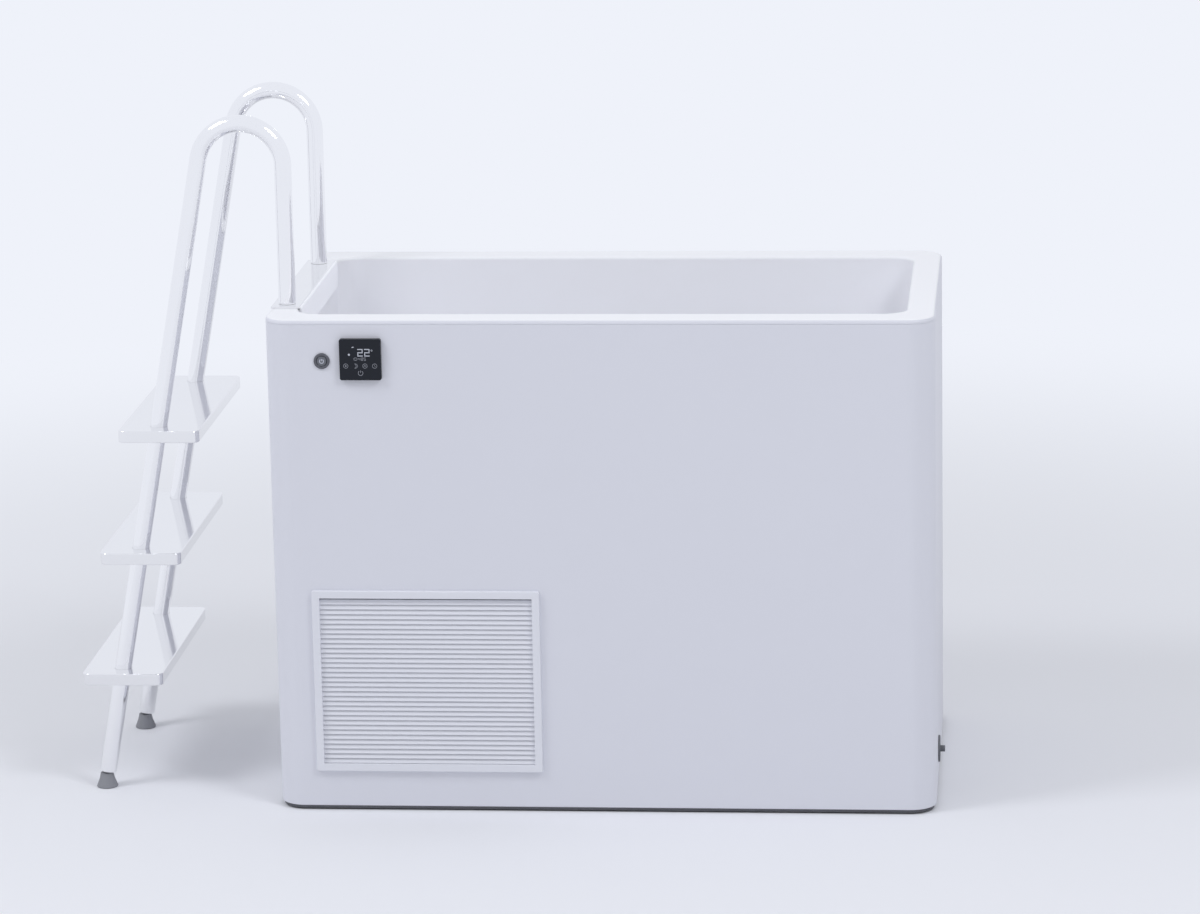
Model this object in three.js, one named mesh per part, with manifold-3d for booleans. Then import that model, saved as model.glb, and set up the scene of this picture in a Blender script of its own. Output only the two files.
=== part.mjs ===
// Cold plunge tub with a built-in chiller and a hook-on ladder.
// Millimetres, +Z up, +X to the right and -Y towards the front.
// The origin is on the floor under the tub's centre.

import * as THREE from 'three';
import { mergeVertices } from 'three/addons/utils/BufferGeometryUtils.js';
import Module from 'manifold-3d';

const wasm = await Module();
wasm.setup();

// Clearances
const FIT = 0.3; // between pieces that seat on or in each other
const PASS = 4; // round a pipe that passes through insulation
const OVERCUT = 1; // how far a cut or a fused end runs past a face

// Tub
const TUB_LENGTH = 1380;
const TUB_DEPTH = 760;
const TUB_HEIGHT = 1050;
const TUB_CORNER_R = 55;
const SHELL_WALL = 6;
const RIM_ENDS = 60; // rim width at the left and right
const RIM_SIDES = 70; // rim width at the front and back
const RIM_THICK = 9;
const RIM_EDGE_R = 7;
const BASIN_WALL = 6;
const BASIN_CORNER_R = 50;
const BASIN_FLOOR_R = 40;
const SEAT_HEIGHT = 520;
const SEAT_LENGTH = 560;
const SEAT_EDGE_R = 22;
const WELL_FLOOR = 120;

// Base
const MAT_THICK = 3;
const MAT_INSET = 30;
const MAT_CORNER_R = 40;
const SHELL_LIFT = 10; // floor to the lower edge of the shell
const TRAY_INSET = 5;
const TRAY_LIP_HEIGHT = 30;
const TRAY_LIP_WALL = 3;

// Insulation and the frame under the seat
const STEP_FOAM = 32;
const BULKHEAD_FOAM = 40;
const FRAME_BAR = 12; // height of the top bars
const FRAME_WIDTH = 20; // width of bars and legs

// Intake grille, measured from the tub's left face and from the floor
const GRILLE_WIDTH = 476;
const GRILLE_UNDER_SEAT = 42; // its upper edge under the seat
const GRILLE_LEFT = 85;
const GRILLE_BOTTOM = 88;
const GRILLE_BORDER = 16;
const GRILLE_PROUD = 9;
const GRILLE_EDGE_R = 3;
const GRILLE_CORNER_R = 4.5;
const SKIRT_WALL = 5;
const SKIRT_DEPTH = 22; // from the wall's outer face inwards
const SLAT_PITCH = 10.4;
const SLAT_THICK = 1.8;
const SLAT_DEPTH = 11;
const SLAT_RECESS = 5; // slats behind the frame's front face
const SLAT_TILT = 42; // degrees, outer edge down
const FILTER_THICK = 6;
const FILTER_BORDER = 10;
const FILTER_BAR = 3;
const FILTER_MESH = 1.2;
const FILTER_BARS = 5;

// Warm air outlet in the back wall
const VENT_WIDTH = 280;
const VENT_HEIGHT = 230;
const VENT_LEFT = 70;
const VENT_BOTTOM = 160;

// Air side of the chiller
const COIL_GAP = 8; // behind the grille's skirt
const COIL_DEPTH = 38;
const COIL_INSET = 12; // coil inside the grille's opening, each end
const COIL_PLATE = 3;
const FIN_PITCH = 20;
const FIN_GROOVE = 7;
const FIN_THICK = 4;
const BEND_ROWS = 6;
const BEND_TUBE_R = 5;
const SHROUD_THICK = 3;
const SHROUD_RING_WALL = 3;
const SHROUD_DEPTH = 46;
const FAN_R = 150;
const FAN_TIP_GAP = 6;
const FAN_HUB_R = 34;
const FAN_HUB_DEPTH = 30;
const FAN_DEPTH = 40;
const FAN_BLADES = 5;
const FAN_BLADE_PITCH = 24; // degrees
const FAN_BLADE_THICK = 2.5;
const FAN_BLADE_SWEEP = 40; // degrees of the circle that one blade spans at its tip
const FAN_ROOT_SWEEP = 32;
const FAN_ROOT_R = 27; // where a blade starts inside the hub
const FAN_ARC_STEPS = 3;
const FAN_GAP = 8; // before and behind the fan
const MOTOR_R = 45;
const MOTOR_LENGTH = 62;
const MOTOR_EDGE_R = 7;
const MOTOR_SHAFT_R = 5;
const STRAP_HEIGHT = 18;
const STRAP_THICK = 4;
const STRAP_SPREAD = 26; // from the fan's axis to each strap's middle

// Refrigerant side
const COMPRESSOR_R = 75;
const COMPRESSOR_HEIGHT = 215;
const COMPRESSOR_FROM_BULKHEAD = 118;
const COMPRESSOR_DOME = 34;
const COMPRESSOR_BASE_R = 8;
const COMPRESSOR_STUB = 129; // suction stub over the foot plate
const COMPRESSOR_FOOT_R = 96;
const COMPRESSOR_FOOT_THICK = 4;
const COMPRESSOR_FOOT_HOLE_R = 80;
const GROMMETS = 3;
const GROMMET_R = 13;
const GROMMET_HEIGHT = 14;
const GROMMET_WAIST_R = 10.5;
const GROMMET_FLANGE = 5;
const STUB_LENGTH = 14;
const EXCHANGER_R = 60;
const EXCHANGER_UNDER_FRAME = 39.4; // its top under the seat frame's bars
const EXCHANGER_CAP_R = 66;
const EXCHANGER_CAP = 24;
const EXCHANGER_EDGE_R = 7;
const LEFT_ROW = 92; // from the shell's inner left face to the barrels' axes
const EXCHANGER_Y = -90;
const LINE_R = 5;
const LINE_BEND = 14;
const LINE_PORT_WALL = 1.5; // a port's wall round its pipe
const LINE_OFFSET = 30; // refrigerant ports from the barrel's centre plane

// Water side
const PUMP_Y = 210;
const PUMP_AXIS = 85; // height over the tray
const PUMP_VOLUTE_R = 62;
const PUMP_VOLUTE_WIDTH = 52;
const PUMP_MOTOR_R = 52;
const PUMP_MOTOR_LENGTH = 150;
const PUMP_EDGE_R = 6;
const PUMP_FOOT_THICK = 6;
const PUMP_FOOT_LENGTH = 98;
const PUMP_FOOT_BEHIND = 30; // foot behind the volute
const PUMP_WEB_WIDTH = 62;
const PUMP_WEB_LENGTH = 54;
const PUMP_FROM_BULKHEAD = 180;
const FILTER_R = 62;
const FILTER_WALL = 4;
const FILTER_EDGE_R = 6;
const FILTER_SUMP_HEIGHT = 330;
const FILTER_HEAD_HEIGHT = 74;
const FILTER_Y = 90;
const CARTRIDGE_R = 50;
const CARTRIDGE_CORE_R = 16;
const CARTRIDGE_PLEATS = 24;
const CARTRIDGE_PLEAT_DEPTH = 7;
const CARTRIDGE_HEIGHT = 290;
const HOSE_R = 16;
const HOSE_BEND = 34;
const HOSE_PORT_WALL = 3;
const SUCTION_OVER_FILLET = 6; // its flange over the end of the floor fillet
const RETURN_UNDER_SEAT = 160;
const FITTING_FLANGE_R = 38;
const FITTING_FLANGE = 6;
const FITTING_TAIL_R = 19;
const FITTING_REACH = 12; // tail past the bulkhead
const JET_MOUTH_R = 13;
const MOUTH_TAPER = 2;
const GRATE_BAR = 4;
const GRATE_DEPTH = 3;
const GRATE_PITCH = 10.5;

// Drain
const DRAIN_FROM_FRONT = 200;
const DRAIN_HEIGHT = 85;
const DRAIN_FROM_RIGHT = 150; // floor drain's axis from the tub's right face
const DRAIN_FLANGE_R = 28.5;
const DRAIN_FLANGE = 4;
const DRAIN_SLEEVE_R = 16;
const DRAIN_SLEEVE_LENGTH = 44;
const DRAIN_PIPE_R = 19;
const DRAIN_PIPE_BORE_R = 15;
const DRAIN_TAIL_LENGTH = 10;
const DRAIN_TAIL_WALL = 3;
const DRAIN_GRATE = 4; // height of the grate's rim
const DRAIN_GRATE_EDGE = 3;
const DRAIN_BAR = 2.4;
const DRAIN_BAR_PITCH = 7;
const DRAIN_FLANGE_EDGE = 1.5;
const SPIGOT_EDGE = 1;
const SPIGOT_R = 6.8;
const SPIGOT_BORE_R = 4;
const SPIGOT_PROUD = 10;
const SPIGOT_LENGTH = 58;

// Controls on the front
const PANEL_SIZE = 86;
const PANEL_LEFT = 203; // its centre from the tub's left face
const PANEL_UNDER_TOP = 80.5; // its centre under the rim's top
const PANEL_HOUSING = 8;
const PANEL_GLASS = 2.4;
const PANEL_GLASS_EDGE = 0.8;
const PANEL_CORNER_R = 4;
const PANEL_BOX = 58;
const PANEL_BOX_DEPTH = 30;
const BUTTON_LEFT = 122;
const BUTTON_UNDER_TOP = 85; // its centre under the rim's top
const BUTTON_R = 16.5;
const BUTTON_FLANGE = 3;
const BUTTON_EDGE = 1.2;
const BUTTON_BORE_EDGE = 1;
const BUTTON_CAP_EDGE = 0.8;
const BUTTON_BARREL_R = 12.5;
const BUTTON_BARREL = 30;
const BUTTON_BORE_R = 10.6;
const BUTTON_CAP_R = 10.2;
const BUTTON_CAP_HEIGHT = 9;
const BUTTON_TRAVEL = 3;
const BUTTON_NUT_R = 18;
const BUTTON_NUT = 5;
const SWITCH_R = 9.5;
const SWITCH_TAIL = 12; // behind the barrel
const SWITCH_COLLAR = 3;
const PLUNGER_R = 4.8;
const PLUNGER = 4;
const FOAM_NOTCH_MARGIN = 26; // round the button and panel, in the front insulation

// Electric box and mains inlet
const BOX_WIDTH = 170;
const BOX_DEPTH = 80;
const BOX_HEIGHT = 190;
const BOX_WALL = 3;
const BOX_BOTTOM = 240;
const BOX_FROM_BULKHEAD = 30;
const GLAND_FROM_BULKHEAD = 70;
const GLAND_HEIGHT = 130;
const GLAND_R = 13;
const GLAND_BARREL_R = 10;
const GLAND_BORE_R = 5;
const GLAND_PROUD = 22;
const GLAND_NUT_R = 15;
const GLAND_NUT = 10;
const GLAND_DOME = 7;
const GLAND_MOUTH_R = 9;

// Ladder
const RAIL_R = 18;
const RAIL_WALL = 2;
const RAIL_SPACING = 448; // between the two rails' planes
const RAIL_TOP = 1453;
const RAIL_BEND_R = 89; // centre line of the bend
const RAIL_END_R = 6; // rounding of the lower end
const LEG_SLOPE = 10.5; // degrees from upright
const HOOK_LENGTH = 518;
const HOOK_THICK = 4;
const HOOK_DROP = 56;
const HOOK_BEND_R = 6;
const TREAD_COUNT = 3;
const TREAD_RISE = 264;
const TREAD_THICK = 25;
const TREAD_WIDTH = 172;
const TREAD_LENGTH = 554;
const TREAD_CORNER_R = 16;
const TREAD_SHIFT = 8; // towards the tub, from the leg's axis
const TREAD_EDGE_R = 2;
const FOOT_R = 22.5;
const FOOT_TOP_R = 13.5;
const FOOT_HEIGHT = 31;
const FOOT_WAIST_R = 17;
const FOOT_WAIST = 19; // height of the bell's waist
const FOOT_HEM = 2;
const FOOT_STEM_R = 8;
const FOOT_STEM = 46;

// Facets
const CORNER_STEPS = 5;
const ROUND_STEPS = 3;
const BEND_STEPS = 4;
const RAIL_BEND_STEPS = 12;
const RAIL_SIDES = 14;
const HOSE_SIDES = 10;
const LINE_SIDES = 6;
const TURNED_SIDES = 18;
const SMALL_SIDES = 12;
const NUT_SIDES = 6;

// Planes and areas that several pieces share
const HALF_LENGTH = TUB_LENGTH / 2;
const HALF_DEPTH = TUB_DEPTH / 2;
const FRONT = -HALF_DEPTH;
const LEFT = -HALF_LENGTH;
const RIM_UNDER = TUB_HEIGHT - RIM_THICK;
const TRAY_TOP = SHELL_LIFT - FIT;
const LIP_TOP = SHELL_LIFT + TRAY_LIP_HEIGHT;
const SHELL_AREA = area(HALF_LENGTH, HALF_DEPTH, TUB_CORNER_R);
const SHELL_INNER = shrunk(SHELL_AREA, SHELL_WALL);
const BASIN_AREA = area(HALF_LENGTH - RIM_ENDS, HALF_DEPTH - RIM_SIDES, BASIN_CORNER_R);
const BASIN_OUTER = shrunk(BASIN_AREA, -BASIN_WALL);
const WELL_AREA = { ...BASIN_AREA, x0: BASIN_AREA.x0 + SEAT_LENGTH };
const WELL_OUTER = shrunk(WELL_AREA, -BASIN_WALL);
const SEAT_UNDER = SEAT_HEIGHT - BASIN_WALL;
const GRILLE_HEIGHT = SEAT_HEIGHT - GRILLE_UNDER_SEAT - GRILLE_BOTTOM;
const PANEL_HEIGHT = TUB_HEIGHT - PANEL_UNDER_TOP;
const BUTTON_HEIGHT = TUB_HEIGHT - BUTTON_UNDER_TOP;
const WELL_UNDER = WELL_FLOOR - BASIN_WALL;
const MACHINE_TOP = SEAT_UNDER - FIT - STEP_FOAM;
const BULKHEAD = WELL_OUTER.x0 - FIT - BULKHEAD_FOAM;
const LEFT_ROW_X = SHELL_INNER.x0 + LEFT_ROW;
const FLAT_X = SHELL_INNER.x1 - SHELL_INNER.r - FIT; // flat stretch of the long walls
const FLAT_Y = SHELL_INNER.y1 - SHELL_INNER.r - FIT; // flat stretch of the end walls
const SUCTION_Z = WELL_FLOOR + BASIN_FLOOR_R + FITTING_FLANGE_R + SUCTION_OVER_FILLET;
const RETURN_Z = SEAT_HEIGHT - RETURN_UNDER_SEAT;
const TAIL_END = BULKHEAD - FITTING_REACH;
const DRAIN_Y = FRONT + DRAIN_FROM_FRONT;
const DRAIN_X = HALF_LENGTH - DRAIN_FROM_RIGHT;
const DRAIN_SLEEVE_END = HALF_LENGTH - DRAIN_SLEEVE_LENGTH;
const DRAIN_TAIL = WELL_UNDER - DRAIN_TAIL_LENGTH;
const DRAIN_AXIS = point(DRAIN_X, DRAIN_Y, 0);
const PANEL_X = LEFT + PANEL_LEFT;
const BUTTON_X = LEFT + BUTTON_LEFT;
const BUTTON_CAP_BACK = BUTTON_CAP_HEIGHT - BUTTON_FLANGE - FIT;
const GLAND_X = BULKHEAD - GLAND_FROM_BULKHEAD;
const BOX_X = [BULKHEAD - BOX_FROM_BULKHEAD - BOX_WIDTH, BULKHEAD - BOX_FROM_BULKHEAD];
const BOX_Y = [SHELL_INNER.y1 - FIT - BOX_DEPTH, SHELL_INNER.y1 - FIT];
const BOX_Z = [BOX_BOTTOM, BOX_BOTTOM + BOX_HEIGHT];

// The two louvre panels, by their lower left corners on the wall's outer face
const INTAKE = {
  width: GRILLE_WIDTH,
  height: GRILLE_HEIGHT,
  x: LEFT + GRILLE_LEFT,
  y: FRONT,
  z: GRILLE_BOTTOM,
};
const OUTLET = {
  width: VENT_WIDTH,
  height: VENT_HEIGHT,
  x: LEFT + VENT_LEFT,
  y: HALF_DEPTH,
  z: VENT_BOTTOM,
};

// Places in the machine space
const COIL_FRONT = FRONT + SKIRT_DEPTH + COIL_GAP;
const COIL = {
  x: [INTAKE.x + GRILLE_BORDER + COIL_INSET, INTAKE.x + GRILLE_WIDTH - GRILLE_BORDER - COIL_INSET],
  y: [COIL_FRONT, COIL_FRONT + COIL_DEPTH],
  z: [INTAKE.z + GRILLE_BORDER, INTAKE.z + GRILLE_HEIGHT - GRILLE_BORDER],
};
const COIL_MIDDLE = COIL_FRONT + COIL_DEPTH / 2;
const BEND_PITCH = (COIL.z[1] - COIL.z[0]) / (2 * BEND_ROWS);
const FAN_AXIS = point((COIL.x[0] + COIL.x[1]) / 2, 0, (COIL.z[0] + COIL.z[1]) / 2);
const SHROUD_FRONT = COIL.y[1] + FIT;
const FAN_Y = SHROUD_FRONT + SHROUD_THICK + FAN_GAP + FAN_DEPTH / 2;
const STRAP_Y = FAN_Y + FAN_DEPTH / 2 + FAN_GAP;
const LINE_X = COIL.x[1] + COIL_PLATE + LINE_BEND + LINE_R;
const DISCHARGE_Z = COIL.z[1] - 2 * BEND_PITCH;
const LIQUID_Z = COIL.z[0] + 2 * BEND_PITCH;
const MACHINE_FLOOR = TRAY_TOP + FIT;
const EXCHANGER_HEIGHT = MACHINE_TOP - FIT - FRAME_BAR - EXCHANGER_UNDER_FRAME - MACHINE_FLOOR;
const EXCHANGER_AXIS = point(LEFT_ROW_X, EXCHANGER_Y, 0);
const EXCHANGER_OUT_Z = MACHINE_FLOOR + EXCHANGER_CAP + 2 * HOSE_R;
const GAS_Z = MACHINE_FLOOR + EXCHANGER_HEIGHT - EXCHANGER_CAP - 2 * HOSE_R;
const COMPRESSOR_AXIS = point(BULKHEAD - COMPRESSOR_FROM_BULKHEAD, EXCHANGER_Y + LINE_OFFSET, 0);
const COMPRESSOR_FOOT = MACHINE_FLOOR + GROMMET_HEIGHT + FIT;
const COMPRESSOR_TOP = COMPRESSOR_FOOT + COMPRESSOR_HEIGHT;
const SUCTION_STUB_Z = COMPRESSOR_FOOT + COMPRESSOR_STUB;
const PUMP_CENTRE = point(BULKHEAD - PUMP_FROM_BULKHEAD, PUMP_Y, MACHINE_FLOOR + PUMP_AXIS);
const PUMP_OUTLET = point(PUMP_CENTRE.x + PUMP_VOLUTE_WIDTH / 2, PUMP_Y, 0);
const FILTER_AXIS = point(LEFT_ROW_X, FILTER_Y, 0);
const FILTER_HEAD_BOTTOM = MACHINE_FLOOR + FILTER_SUMP_HEIGHT + FIT;
const HEAD_PORT_Z = FILTER_HEAD_BOTTOM + FILTER_HEAD_HEIGHT / 2;
const SUCTION_AXIS = point(0, PUMP_Y, SUCTION_Z);
const RETURN_AXIS = point(0, EXCHANGER_Y, RETURN_Z);

// Finishes
const WHITE_GLOSS = finish(0xf1f2f6, 0.25, 0);
const WHITE_SATIN = finish(0xe9eaf0, 0.45, 0);
const DARK_BASE = finish(0x4a4b50, 0.7, 0);
const RUBBER = finish(0x6c6d70, 0.9, 0);
const FOAM = finish(0xe6dcb8, 0.95, 0);
const STEEL = finish(0xd8dae0, 0.12, 1);
const DARK_STEEL = finish(0x77787c, 0.35, 1);
const ZINC = finish(0xb4b7ba, 0.45, 1);
const ALUMINIUM = finish(0xc4c8cc, 0.4, 1);
const COPPER = finish(0xb87048, 0.35, 1);
const BLACK_PAINT = finish(0x202124, 0.5, 0);
const BLACK_GLASS = finish(0x24272f, 0.08, 0);
const DARK_PLASTIC = finish(0x3a3b3f, 0.55, 0);
const PALE_PLASTIC = finish(0xd9dbe0, 0.5, 0);
const BLUE_PLASTIC = finish(0x4d7390, 0.45, 0);
const FILTER_PAPER = finish(0xeef0f0, 0.9, 0);

function finish(color, roughness, metalness) {
  return { color, roughness, metalness };
}

// A rounded rectangle about the centre, seen from above.
function area(halfX, halfY, r) {
  return { x0: -halfX, x1: halfX, y0: -halfY, y1: halfY, r };
}

function shrunk({ x0, x1, y0, y1, r }, by) {
  return { x0: x0 + by, x1: x1 - by, y0: y0 + by, y1: y1 - by, r: r - by };
}

function radians(degrees) {
  return THREE.MathUtils.degToRad(degrees);
}

function point(x, y, z) {
  return new THREE.Vector3(x, y, z);
}

// A closed three.js geometry as a solid for joining and cutting, with its faces turned outwards.
function solidOf(geometry) {
  geometry.deleteAttribute('normal');
  geometry.deleteAttribute('uv');
  const merged = mergeVertices(geometry);
  const corners = merged.index.array;
  const position = merged.attributes.position;
  const faces = [];
  let volume = 0;
  for (let i = 0; i < corners.length; i += 3) {
    const [a, b, c] = corners.slice(i, i + 3);
    if (a === b || b === c || c === a) continue;
    faces.push(a, b, c);
    const [p, q, r] = [a, b, c].map((k) => new THREE.Vector3().fromBufferAttribute(position, k));
    volume += p.dot(q.cross(r));
  }
  if (volume < 0) faces.reverse();
  return new wasm.Manifold(new wasm.Mesh({
    numProp: 3,
    vertProperties: new Float32Array(position.array),
    triVerts: new Uint32Array(faces),
  }));
}

function geometryOf(solid) {
  const { vertProperties, triVerts } = solid.getMesh();
  const geometry = new THREE.BufferGeometry();
  geometry.setAttribute('position', new THREE.BufferAttribute(vertProperties, 3));
  geometry.setIndex(new THREE.BufferAttribute(triVerts, 1));
  return geometry;
}

function piece(name, solid, { color, roughness, metalness }) {
  const material = new THREE.MeshStandardMaterial({ color, roughness, metalness });
  const mesh = new THREE.Mesh(geometryOf(solid), material);
  mesh.name = name;
  return mesh;
}

function assembly(...members) {
  return new THREE.Group().add(...members);
}

function join(solids) {
  return solids.reduce((whole, solid) => whole.add(solid));
}

function box([x0, x1], [y0, y1], [z0, z1]) {
  const block = new THREE.BoxGeometry(x1 - x0, y1 - y0, z1 - z0);
  return solidOf(block.translate((x0 + x1) / 2, (y0 + y1) / 2, (z0 + z1) / 2));
}

// Turns a geometry that was drawn along +Z so that it runs along another axis.
const ALONG = {
  x: (geometry) => geometry.rotateY(Math.PI / 2),
  y: (geometry) => geometry.rotateX(-Math.PI / 2),
  z: (geometry) => geometry,
};

// A solid of revolution from [radius, height] points, round an axis through a centre.
function turned(profile, axis, centre, sides = TURNED_SIDES) {
  const outline = profile.map(([r, h]) => new THREE.Vector2(r, h));
  const lathe = new THREE.LatheGeometry(outline, sides).rotateX(Math.PI / 2);
  return solidOf(ALONG[axis](lathe).translate(centre.x, centre.y, centre.z));
}

function rod(axis, centre, r, from, to, sides = TURNED_SIDES) {
  return turned([[0, from], [r, from], [r, to], [0, to]], axis, centre, sides);
}

// An outline of [a, b] points swept straight along an axis; along y, a is X and b is Z.
function prism(points, axis, from, to) {
  const shape = new THREE.Shape(points.map(([a, b]) => new THREE.Vector2(a, b)));
  const swept = new THREE.ExtrudeGeometry(shape, { depth: to - from, bevelEnabled: false });
  if (axis === 'y') swept.rotateX(Math.PI / 2).translate(0, to, 0);
  else swept.translate(0, 0, from);
  return solidOf(swept);
}

// One level of a rounded rectangle, drawn in by an inset, or out where the inset is negative.
function roundedRing({ x0, x1, y0, y1, r }, inset, z) {
  const centres = [[x1 - r, y1 - r], [x0 + r, y1 - r], [x0 + r, y0 + r], [x1 - r, y0 + r]];
  return centres.flatMap(([x, y], corner) => Array.from({ length: CORNER_STEPS + 1 }, (_, step) => {
    const angle = (corner + step / CORNER_STEPS) * Math.PI / 2;
    return point(x + (r - inset) * Math.cos(angle), y + (r - inset) * Math.sin(angle), z);
  }));
}

// A loft through levels of one rounded rectangle, given as [inset, z] from the bottom up.
function softBlock(plan, levels) {
  const rings = levels.map(([inset, z]) => roundedRing(plan, inset, z));
  const count = rings[0].length;
  const faces = [];
  for (let level = 0; level < rings.length - 1; level++) {
    for (let i = 0; i < count; i++) {
      const a = level * count + i;
      const b = level * count + (i + 1) % count;
      faces.push(a, b, b + count, a, b + count, a + count);
    }
  }
  const top = (rings.length - 1) * count;
  for (let i = 1; i < count - 1; i++) {
    faces.push(0, i + 1, i);
    faces.push(top, top + i, top + i + 1);
  }
  const geometry = new THREE.BufferGeometry().setFromPoints(rings.flat());
  return solidOf(geometry.setIndex(faces));
}

// Levels of a quarter round: a lower edge, an upper edge, and an upper edge that opens outwards.
function quarter(level) {
  return Array.from({ length: ROUND_STEPS + 1 }, (_, step) => level(step / ROUND_STEPS * Math.PI / 2));
}

function lowerRound(z, r) {
  return quarter((angle) => [r - r * Math.sin(angle), z + r - r * Math.cos(angle)]);
}

function upperRound(z, r) {
  return quarter((angle) => [r - r * Math.cos(angle), z - r + r * Math.sin(angle)]);
}

function upperFlare(z, r) {
  return upperRound(z, r).map(([inset, height]) => [-inset, height]);
}

// A route of straight runs and round bends, with a step only where it bends.
class BentRoute extends THREE.Curve {
  constructor(stations) {
    super();
    this.stations = stations;
  }

  get steps() {
    return this.stations.length - 1;
  }

  getPointAt(u) {
    return this.stations[Math.round(u * this.steps)].at.clone();
  }

  getTangentAt(u) {
    return this.stations[Math.round(u * this.steps)].heading.clone();
  }
}

// The route through given corners, with each inner corner rounded to a bend.
function routeThrough(corners, bendR) {
  const heading = (k) => corners[k + 1].clone().sub(corners[k]).normalize();
  const stations = [{ at: corners[0], heading: heading(0) }];
  for (let k = 1; k < corners.length - 1; k++) {
    const before = heading(k - 1);
    const after = heading(k);
    const turn = before.angleTo(after);
    const start = corners[k].clone().addScaledVector(before, -bendR * Math.tan(turn / 2));
    const inward = after.clone().addScaledVector(before, -before.dot(after)).normalize();
    for (let step = 0; step <= BEND_STEPS; step++) {
      const angle = turn * step / BEND_STEPS;
      const at = start.clone().addScaledVector(before, bendR * Math.sin(angle));
      at.addScaledVector(inward, bendR - bendR * Math.cos(angle));
      const direction = before.clone().multiplyScalar(Math.cos(angle));
      stations.push({ at, heading: direction.addScaledVector(inward, Math.sin(angle)) });
    }
  }
  const last = corners.length - 1;
  stations.push({ at: corners[last], heading: heading(last - 1) });
  return new BentRoute(stations);
}

// A tube along a route; a bore of zero makes it a rod.
function tubeAlong(route, r, bore, sides) {
  const section = new THREE.Shape().absarc(0, 0, r, 0, 2 * Math.PI);
  if (bore > 0) section.holes.push(new THREE.Path().absarc(0, 0, bore, 0, 2 * Math.PI, true));
  const options = { steps: route.steps, extrudePath: route, curveSegments: sides / 2 };
  return solidOf(new THREE.ExtrudeGeometry(section, options));
}

function hose(corners) {
  return tubeAlong(routeThrough(corners, HOSE_BEND), HOSE_R, 0, HOSE_SIDES);
}

function line(corners) {
  return tubeAlong(routeThrough(corners, LINE_BEND), LINE_R, 0, LINE_SIDES);
}

// Casing

function outerShell() {
  const levels = [[0, SHELL_LIFT], [0, RIM_UNDER - FIT]];
  const bore = [[SHELL_WALL, SHELL_LIFT - SHELL_WALL], [SHELL_WALL, TUB_HEIGHT]];
  const walls = softBlock(SHELL_AREA, levels).subtract(softBlock(SHELL_AREA, bore));
  const panelHalf = PANEL_BOX / 2 + FIT;
  const through = [FRONT - SHELL_WALL, FRONT + 2 * SHELL_WALL];
  const panelHole = box([PANEL_X - panelHalf, PANEL_X + panelHalf], through,
    [PANEL_HEIGHT - panelHalf, PANEL_HEIGHT + panelHalf]);
  const buttonHole = rod('y', point(BUTTON_X, 0, BUTTON_HEIGHT), BUTTON_BARREL_R + FIT, ...through);
  const drainHole = rod('x', point(0, DRAIN_Y, DRAIN_HEIGHT), DRAIN_SLEEVE_R + FIT,
    HALF_LENGTH - 2 * SHELL_WALL, HALF_LENGTH + SHELL_WALL);
  const glandHole = rod('y', point(GLAND_X, 0, GLAND_HEIGHT), GLAND_BARREL_R + FIT,
    HALF_DEPTH - 2 * SHELL_WALL, HALF_DEPTH + SHELL_WALL);
  const openings = [louvreHole(INTAKE), louvreHole(OUTLET), panelHole, buttonHole, drainHole, glandHole];
  return walls.subtract(join(openings));
}

// The hollow that the water fills, with a filleted seat and foot well, or its outside where a wall is added.
function basinBody(wall, top) {
  const plan = shrunk(BASIN_AREA, -wall);
  const well = shrunk(WELL_AREA, -wall);
  const floorR = BASIN_FLOOR_R + wall;
  const edgeR = SEAT_EDGE_R - wall;
  const seat = softBlock(plan, [...lowerRound(SEAT_HEIGHT - wall, floorR), ...top]);
  const wellTop = SEAT_HEIGHT - wall + 2 * floorR;
  const footWell = softBlock(well, [...lowerRound(WELL_FLOOR - wall, floorR), [0, wellTop]]);
  const edgeTop = SEAT_HEIGHT - wall;
  const edge = softBlock(well, [[0, edgeTop - 2 * edgeR], ...upperFlare(edgeTop, edgeR)]);
  const trim = softBlock(plan, [[0, WELL_FLOOR], [0, TUB_HEIGHT]]);
  return join([seat, footWell, edge.intersect(trim)]);
}

function basin() {
  const rim = softBlock(SHELL_AREA, [[0, RIM_UNDER], ...upperRound(TUB_HEIGHT, RIM_EDGE_R)]);
  const outside = basinBody(BASIN_WALL, [[0, RIM_UNDER + RIM_THICK / 2]]);
  const lift = RIM_EDGE_R;
  const inside = basinBody(0, [...upperFlare(TUB_HEIGHT, RIM_EDGE_R), [-RIM_EDGE_R, TUB_HEIGHT + lift]]);
  const tailHole = FITTING_TAIL_R + FIT;
  const wallSpan = [WELL_OUTER.x0 - BASIN_WALL, WELL_AREA.x0 + BASIN_WALL];
  const suctionHole = rod('x', SUCTION_AXIS, tailHole, ...wallSpan);
  const returnHole = rod('x', RETURN_AXIS, tailHole, ...wallSpan);
  const floorSpan = [WELL_UNDER - BASIN_WALL, WELL_FLOOR + BASIN_WALL];
  const drainHole = rod('z', DRAIN_AXIS, DRAIN_PIPE_BORE_R - FIT, ...floorSpan);
  return rim.add(outside).subtract(join([inside, suctionHole, returnHole, drainHole]));
}

function baseTray() {
  const plate = softBlock(SHELL_AREA, [[TRAY_INSET, MAT_THICK + FIT], [TRAY_INSET, TRAY_TOP]]);
  const lipOutside = SHELL_WALL + FIT;
  const lip = softBlock(SHELL_AREA, [[lipOutside, MAT_THICK + FIT], [lipOutside, LIP_TOP]]);
  const lipInside = lipOutside + TRAY_LIP_WALL;
  const hollow = softBlock(SHELL_AREA, [[lipInside, TRAY_TOP], [lipInside, LIP_TOP + TRAY_LIP_WALL]]);
  return plate.add(lip).subtract(hollow);
}

function baseMat() {
  const plan = area(HALF_LENGTH - MAT_INSET, HALF_DEPTH - MAT_INSET, MAT_CORNER_R);
  return softBlock(plan, [[0, 0], [0, MAT_THICK]]);
}

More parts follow.
